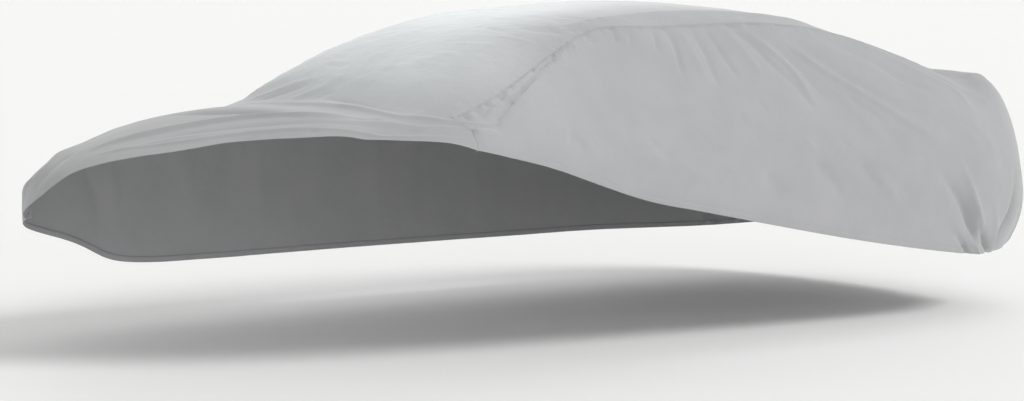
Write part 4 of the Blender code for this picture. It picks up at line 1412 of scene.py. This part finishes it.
@dataclass
class Stitching:
    """Rows of lockstitch thread, set along lines on the cloth by Geometry Nodes."""

    pitch: float = 9.0 * MM
    length: float = 6.0 * MM
    radius: float = 0.6 * MM
    unevenness: tuple[float, float] = (0.88, 1.08)
    seed: int = 5

    def tree(self) -> bpy.types.NodeTree:
        """Node tree that sets a stitch at each step of a line.

        Returns:
            The tree, with its sizes, thread and seed as named inputs.
        """
        tree = bpy.data.node_groups.new("thread_stitches", "GeometryNodeTree")
        sockets = tree.interface
        sockets.new_socket("Geometry", in_out="OUTPUT", socket_type="NodeSocketGeometry")
        sockets.new_socket("Geometry", in_out="INPUT", socket_type="NodeSocketGeometry")
        for name in ("Pitch", "Length", "Radius"):
            sockets.new_socket(name, in_out="INPUT", socket_type="NodeSocketFloat")
        sockets.new_socket("Thread", in_out="INPUT", socket_type="NodeSocketMaterial")
        sockets.new_socket("Seed", in_out="INPUT", socket_type="NodeSocketInt")
        given = add_node(tree, "NodeGroupInput").outputs
        line = add_node(tree, "GeometryNodeMeshToCurve", None, {"Mesh": given["Geometry"]})
        steps = add_node(tree, "GeometryNodeResampleCurve", {"mode": "LENGTH"}, {
            "Curve": line.outputs["Curve"], "Length": given["Pitch"]})
        bead = add_node(tree, "GeometryNodeMeshUVSphere", {"Segments": 6, "Rings": 4, "Radius": 0.5})
        twice = add_node(tree, "ShaderNodeMath", {"operation": "MULTIPLY", 1: 2.0}, {0: given["Radius"]})
        shape = add_node(tree, "ShaderNodeCombineXYZ", None, {
            "X": twice.outputs["Value"], "Y": twice.outputs["Value"], "Z": given["Length"]})
        least, most = self.unevenness
        uneven = add_node(tree, "FunctionNodeRandomValue", {"data_type": "FLOAT", 2: least, 3: most}, {
            "Seed": given["Seed"]})
        size = add_node(tree, "ShaderNodeVectorMath", {"operation": "SCALE"}, {
            0: shape.outputs["Vector"], "Scale": uneven.outputs[1]})
        tangent = add_node(tree, "GeometryNodeInputTangent")
        turn = add_node(tree, "FunctionNodeAlignRotationToVector", {"axis": "Z"}, {
            "Vector": tangent.outputs["Tangent"]})
        placed = add_node(tree, "GeometryNodeInstanceOnPoints", None, {
            "Points": steps.outputs["Curve"], "Instance": bead.outputs["Mesh"],
            "Rotation": turn.outputs["Rotation"], "Scale": size.outputs["Vector"]})
        whole = add_node(tree, "GeometryNodeRealizeInstances", None, {
            "Geometry": placed.outputs["Instances"]})
        dressed = add_node(tree, "GeometryNodeSetMaterial", None, {
            "Geometry": whole.outputs["Geometry"], "Material": given["Thread"]})
        add_node(tree, "NodeGroupOutput", None, {"Geometry": dressed.outputs["Geometry"]})
        return tree

    def sew(self, name: str, paths: list[np.ndarray], thread: bpy.types.Material) -> bpy.types.Object:
        """Stitches along lines, as one plain mesh.

        Args:
            name: Name of the piece.
            paths: Lines of points on the cloth.
            thread: Material of the thread.

        Returns:
            The piece.
        """
        mesh = bpy.data.meshes.new(name + "_lines")
        points, edges = [], []
        for path in paths:
            start = len(points)
            points += [tuple(point) for point in path]
            edges += [(start + k, start + k + 1) for k in range(len(path) - 1)]
        mesh.from_pydata(points, edges, [])
        lines = put_in_scene(name + "_lines", mesh)
        tree = self.tree()
        modifier = lines.modifiers.new("stitches", "NODES")
        modifier.node_group = tree
        values = {"Pitch": self.pitch, "Length": self.length, "Radius": self.radius, "Thread": thread,
                  "Seed": self.seed}
        for item in tree.interface.items_tree:
            if item.in_out == "INPUT" and item.name in values:
                modifier[item.identifier] = values[item.name]
        bpy.context.view_layer.update()
        evaluated = lines.evaluated_get(bpy.context.evaluated_depsgraph_get())
        sewn = bpy.data.meshes.new_from_object(evaluated)
        lines.modifiers.remove(modifier)
        bpy.data.objects.remove(lines, do_unlink=True)
        sewn.name = name
        if not sewn.materials:
            sewn.materials.append(thread)
        sewn.shade_smooth()
        LOG.info("%s: %d faces", name, len(sewn.polygons))
        return put_in_scene(name, sewn)


@dataclass
class CarCover:
    """The whole cover: its panels, in the order in which they are sewn."""

    form: DrapedForm = field(default_factory=DrapedForm)
    unevenness: Unevenness = field(default_factory=Unevenness)
    cloth: SpunbondCloth = field(default_factory=SpunbondCloth)
    thread: SpunThread = field(default_factory=SpunThread)
    stitching: Stitching = field(default_factory=Stitching)
    slot: str = "cover_cloth"
    thread_lift: float = 0.2 * MM
    mirror_seed: int = 23
    mirror_shift: tuple[float, float] = (-0.12, 0.18)
    mirror_share: tuple[float, float] = (0.6, 1.0)
    mirror_below: float = -0.9
    mirror_behind: float = 6.9
    tuck_line: tuple[tuple[float, float], ...] = ((6.75, -1.012), (9.1, -1.012))

    def panels(self) -> list[ClothPanel]:
        """The three panels with their outlines and densities.

        Returns:
            The top panel, which carries the other two, and then the sides.
        """
        tip, foot, waist = (
            side * float(hem_girth(hem, np.array([rib]))[0])
            for hem, rib, side in ((BONNET_HEM, TIP_RIB, 1.0), (LEFT_HEM, LEG_FOOT, -1.0),
                                   (LEFT_HEM, SLOPE_END, -1.0)))
        over_front = Stretch((TIP_RIB, 1.0), (LEG_FOOT, 1.0), BONNET_HEM, 1.0,
                             (TIP_RIB, tip), (LEG_FOOT, foot), columns=144)
        by_leg = Stretch((LEG_FOOT, 1.0), (LEG_TOP, 1.0), None, 1.0,
                         (LEG_FOOT, foot), (LEG_TOP, -1.0), columns=28)
        up_slope, over_roof, down_rear = (
            Stretch((start, 1.0), (end, 1.0), None, 1.0, (start, -1.0), (end, -1.0), columns=columns)
            for start, end, columns in ((LEG_TOP, SLOPE_END, 100), (SLOPE_END, REAR_CORNER, 152),
                                        (REAR_CORNER, LAST_RIB, 54)))
        left_front = Stretch((LEG_TOP, -1.0), (SLOPE_END, -1.0), LEFT_HEM, -1.0,
                             (LEG_FOOT, foot), (SLOPE_END, waist), columns=164)
        left_rear = Stretch((SLOPE_END, -1.0), (REAR_CORNER, -1.0), LEFT_HEM, -1.0,
                            (SLOPE_END, waist), (REAR_CORNER, -FOOT), columns=262)
        right = Stretch((FRONT_CORNER, 1.0), (REAR_CORNER, 1.0), RIGHT_HEM, 1.0,
                        (FRONT_CORNER, TIP_GIRTH), (REAR_CORNER, FOOT), columns=390)
        both_hems, both_seams, seam_to_hem = (
            (Edge.HEM, Edge.HEM), (Edge.SEAM, Edge.SEAM), (Edge.SEAM, Edge.HEM))
        return [
            ClothPanel("cover_top_panel", "top_panel", self.form,
                       (over_front, by_leg, up_slope, over_roof, down_rear), rows=94,
                       row_ends=both_seams, column_ends=both_hems, flat=(1.90, 6.60), area=8.6,
                       hem_until=over_front.columns, crowd=0.34),
            ClothPanel("cover_right_side", "right_side_panel", self.form, (right,), rows=96,
                       row_ends=seam_to_hem, column_ends=both_seams, flat=(1.25, 5.20), area=5.1),
            ClothPanel("cover_left_side", "left_side_panel", self.form, (left_front, left_rear), rows=100,
                       row_ends=seam_to_hem, column_ends=both_seams, flat=(1.25, 4.00), area=3.5,
                       crowd=-0.15),
        ]

    def creases(self) -> list[Crease]:
        """All ridges and troughs: those of the left side, their like on the right, and the rest.

        Returns:
            Ridges and troughs of the whole cover.
        """
        draw = random.Random(self.mirror_seed)
        right = [
            crease.mirrored(draw.uniform(*self.mirror_shift), draw.uniform(*self.mirror_share))
            for crease in CREASES
            if max(girth for _, girth in crease.line) < self.mirror_below
            and min(rib for rib, _ in crease.line) > self.mirror_behind
        ]
        gathers = [*Puckers(-1.0).creases(), *Puckers(1.0, seed=29).creases()]
        lower = next(crease.line for crease in CREASES if crease.name == "pillar lower line")
        for side, seed in ((1.0, 3), (-1.0, 4)):
            gathers += Tucks(tuple((rib, side * girth) for rib, girth in lower), seed).creases()
        by_seam = Tucks(self.tuck_line, seed=8, step=(0.20, 0.34), length=(0.08, 0.14))
        return [*CREASES, *right, *HIDDEN_CREASES, *gathers, *by_seam.creases(), *Ripples().creases()]

    def build(self) -> None:
        """Build the panels and their stitches, dress them and tie them to the frame."""
        cloth = self.cloth.build()
        thread = self.thread.build()
        creases = self.creases()
        for panel in self.panels():
            panel.drape(creases, self.unevenness)
            sheet = panel.build()
            sheet.data.materials.append(cloth)
            paths = panel.thread_paths(self.thread_lift)
            stitches = self.stitching.sew(panel.name + "_stitches", paths, thread)
            for piece in (sheet, stitches):
                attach(piece, "root")
            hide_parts(panel.node)


@dataclass(frozen=True)
class Softbox:
    """A rectangular soft light: metres, watts and the full angle in degrees over which it shines."""

    name: str
    place: tuple[float, float, float]
    aim: tuple[float, float, float]
    size: tuple[float, float]
    power: float
    spread: float
    tint: str = "f5fdfb"

    def hang(self) -> None:
        """Hang it in the scene, unseen by the camera."""
        lamp = bpy.data.lights.new(self.name, "AREA")
        lamp.shape = "RECTANGLE"
        lamp.size, lamp.size_y = self.size
        lamp.energy = self.power
        lamp.color = linear(self.tint)[:3]
        lamp.spread = math.radians(self.spread)
        made = put_in_scene(self.name, lamp)
        made.location = self.place
        made.visible_camera = False
        made.rotation_euler = (Vector(self.aim) - Vector(self.place)).to_track_quat("-Z", "Y").to_euler()


@dataclass(frozen=True)
class Glow:
    """Even light from a wide distant screen.

    It stands at a bearing from +X towards +Y and a height above the horizon, looks angle wide, all in
    degrees, and sends power watts through a square metre.
    """

    name: str
    bearing: float
    height: float
    power: float
    angle: float

    def hang(self) -> None:
        """Set it up in the scene."""
        lamp = bpy.data.lights.new(self.name, "SUN")
        lamp.energy = self.power
        lamp.angle = math.radians(self.angle)
        turn, lift = math.radians(self.bearing), math.radians(self.height)
        level = math.cos(lift)
        towards = Vector((math.cos(turn) * level, math.sin(turn) * level, math.sin(lift)))
        made = put_in_scene(self.name, lamp)
        made.rotation_euler = (-towards).to_track_quat("-Z", "Y").to_euler()


@dataclass
class Studio:
    """Pale floor, soft light and the camera."""

    floor_height: float = -1.450
    floor_size: float = 400.0
    floor_tones: tuple[str, str] = ("fdfdfc", "fbfbfa")
    camera_place: tuple[float, float, float] = (-8.559, -9.332, 0.273)
    yaw: float = math.radians(41.35)
    pitch: float = math.radians(-5.32)
    roll: float = math.radians(1.17)
    lens: float = 97.70
    sensor: float = 36.0
    sight: float = 600.0
    wall_light: float = 1.0
    ceiling_light: float = 0.42
    ceiling_fall: tuple[float, float] = (0.05, 0.75)
    lamps: tuple[Softbox | Glow, ...] = (
        Softbox("screen_softbox", (-1.85, 0.0, 0.60), (-1.06, 0.0, -0.26), (1.4, 0.8), 2.4, 46.0),
        Softbox("roof_softbox", (0.10, 0.16, 0.90), (0.10, 0.16, 0.0), (1.9, 0.9), 6.6, 56.0),
        Glow("key_glow", 312.0, 42.0, 1.5, 22.0),
        Glow("left_glow", 238.0, 14.0, 0.45, 40.0),
        Glow("rear_right_glow", 40.0, 24.0, 0.45, 60.0),
    )

    def floor(self) -> None:
        """A plain matt floor."""
        half = 0.5 * self.floor_size
        mesh = bpy.data.meshes.new("studio_floor")
        corners = [(x * half, y * half, self.floor_height) for x, y in ((-1, -1), (1, -1), (1, 1), (-1, 1))]
        mesh.from_pydata(corners, [], [(0, 1, 2, 3)])
        material = new_material("painted_studio_floor")
        tree = material.node_tree
        place = add_node(tree, "ShaderNodeTexCoord").outputs["Object"]
        # rolled matt paint: patches over a metre wide, so faint that the floor stays plain
        patch = add_node(tree, "ShaderNodeTexNoise", {"Scale": 0.8, "Detail": 2.0}, {"Vector": place})
        pale, paler = map(linear, self.floor_tones)
        tone = add_node(tree, "ShaderNodeMix", {"data_type": "RGBA", 6: pale, 7: paler}, {
            0: patch.outputs["Fac"]})
        shader = add_node(tree, "ShaderNodeBsdfPrincipled", {"Roughness": 0.75, "Specular IOR Level": 0.2}, {
            "Base Color": tone.outputs[2]})
        add_node(tree, "ShaderNodeOutputMaterial", None, {"Surface": shader.outputs["BSDF"]})
        mesh.materials.append(material)
        put_in_scene("studio_floor", mesh)

    def light(self) -> None:
        """Bright walls under a dimmer ceiling, softboxes over the front slope and crown, and wide screens."""
        world = bpy.data.worlds.new("studio_sky")
        bpy.context.scene.world = world
        world.use_nodes = True
        tree = world.node_tree
        tree.nodes.clear()
        towards = add_node(tree, "ShaderNodeTexCoord").outputs["Generated"]
        height = add_node(tree, "ShaderNodeSeparateXYZ", None, {"Vector": towards})
        low, high = self.ceiling_fall
        fall = add_node(tree, "ShaderNodeMapRange", {
            "interpolation_type": "SMOOTHSTEP", "From Min": low, "From Max": high,
            "To Min": self.wall_light, "To Max": self.ceiling_light}, {"Value": height.outputs["Z"]})
        sky = add_node(tree, "ShaderNodeBackground", {"Color": linear("ffffff")}, {
            "Strength": fall.outputs["Result"]})
        add_node(tree, "ShaderNodeOutputWorld", None, {"Surface": sky.outputs["Background"]})
        for lamp in self.lamps:
            lamp.hang()

    def camera(self) -> None:
        """The camera at the viewing angle of the photograph."""
        right = Vector((math.cos(self.yaw), -math.sin(self.yaw), 0.0))
        level = math.cos(self.pitch)
        ahead = Vector((math.sin(self.yaw) * level, math.cos(self.yaw) * level, math.sin(self.pitch)))
        up = right.cross(ahead)
        across = right * math.cos(self.roll) + up * math.sin(self.roll)
        upright = up * math.cos(self.roll) - right * math.sin(self.roll)
        turn = Matrix((across, upright, -ahead)).transposed().to_4x4()
        data = bpy.data.cameras.new("view_camera")
        data.lens = self.lens
        data.sensor_width = self.sensor
        data.sensor_fit = "HORIZONTAL"
        data.clip_end = self.sight
        made = put_in_scene("view_camera", data)
        made.matrix_world = Matrix.Translation(self.camera_place) @ turn
        bpy.context.scene.camera = made

    def build(self) -> None:
        """Set up the whole studio."""
        self.floor()
        self.light()
        self.camera()
        bpy.context.scene.view_settings.view_transform = "Standard"
        bpy.context.scene.view_settings.look = "None"


def main() -> None:
    """Build the cover and the studio."""
    logging.basicConfig(level=logging.INFO, format="%(name)s %(message)s")
    Studio().build()
    CarCover().build()


if __name__ == "__main__":
    main()
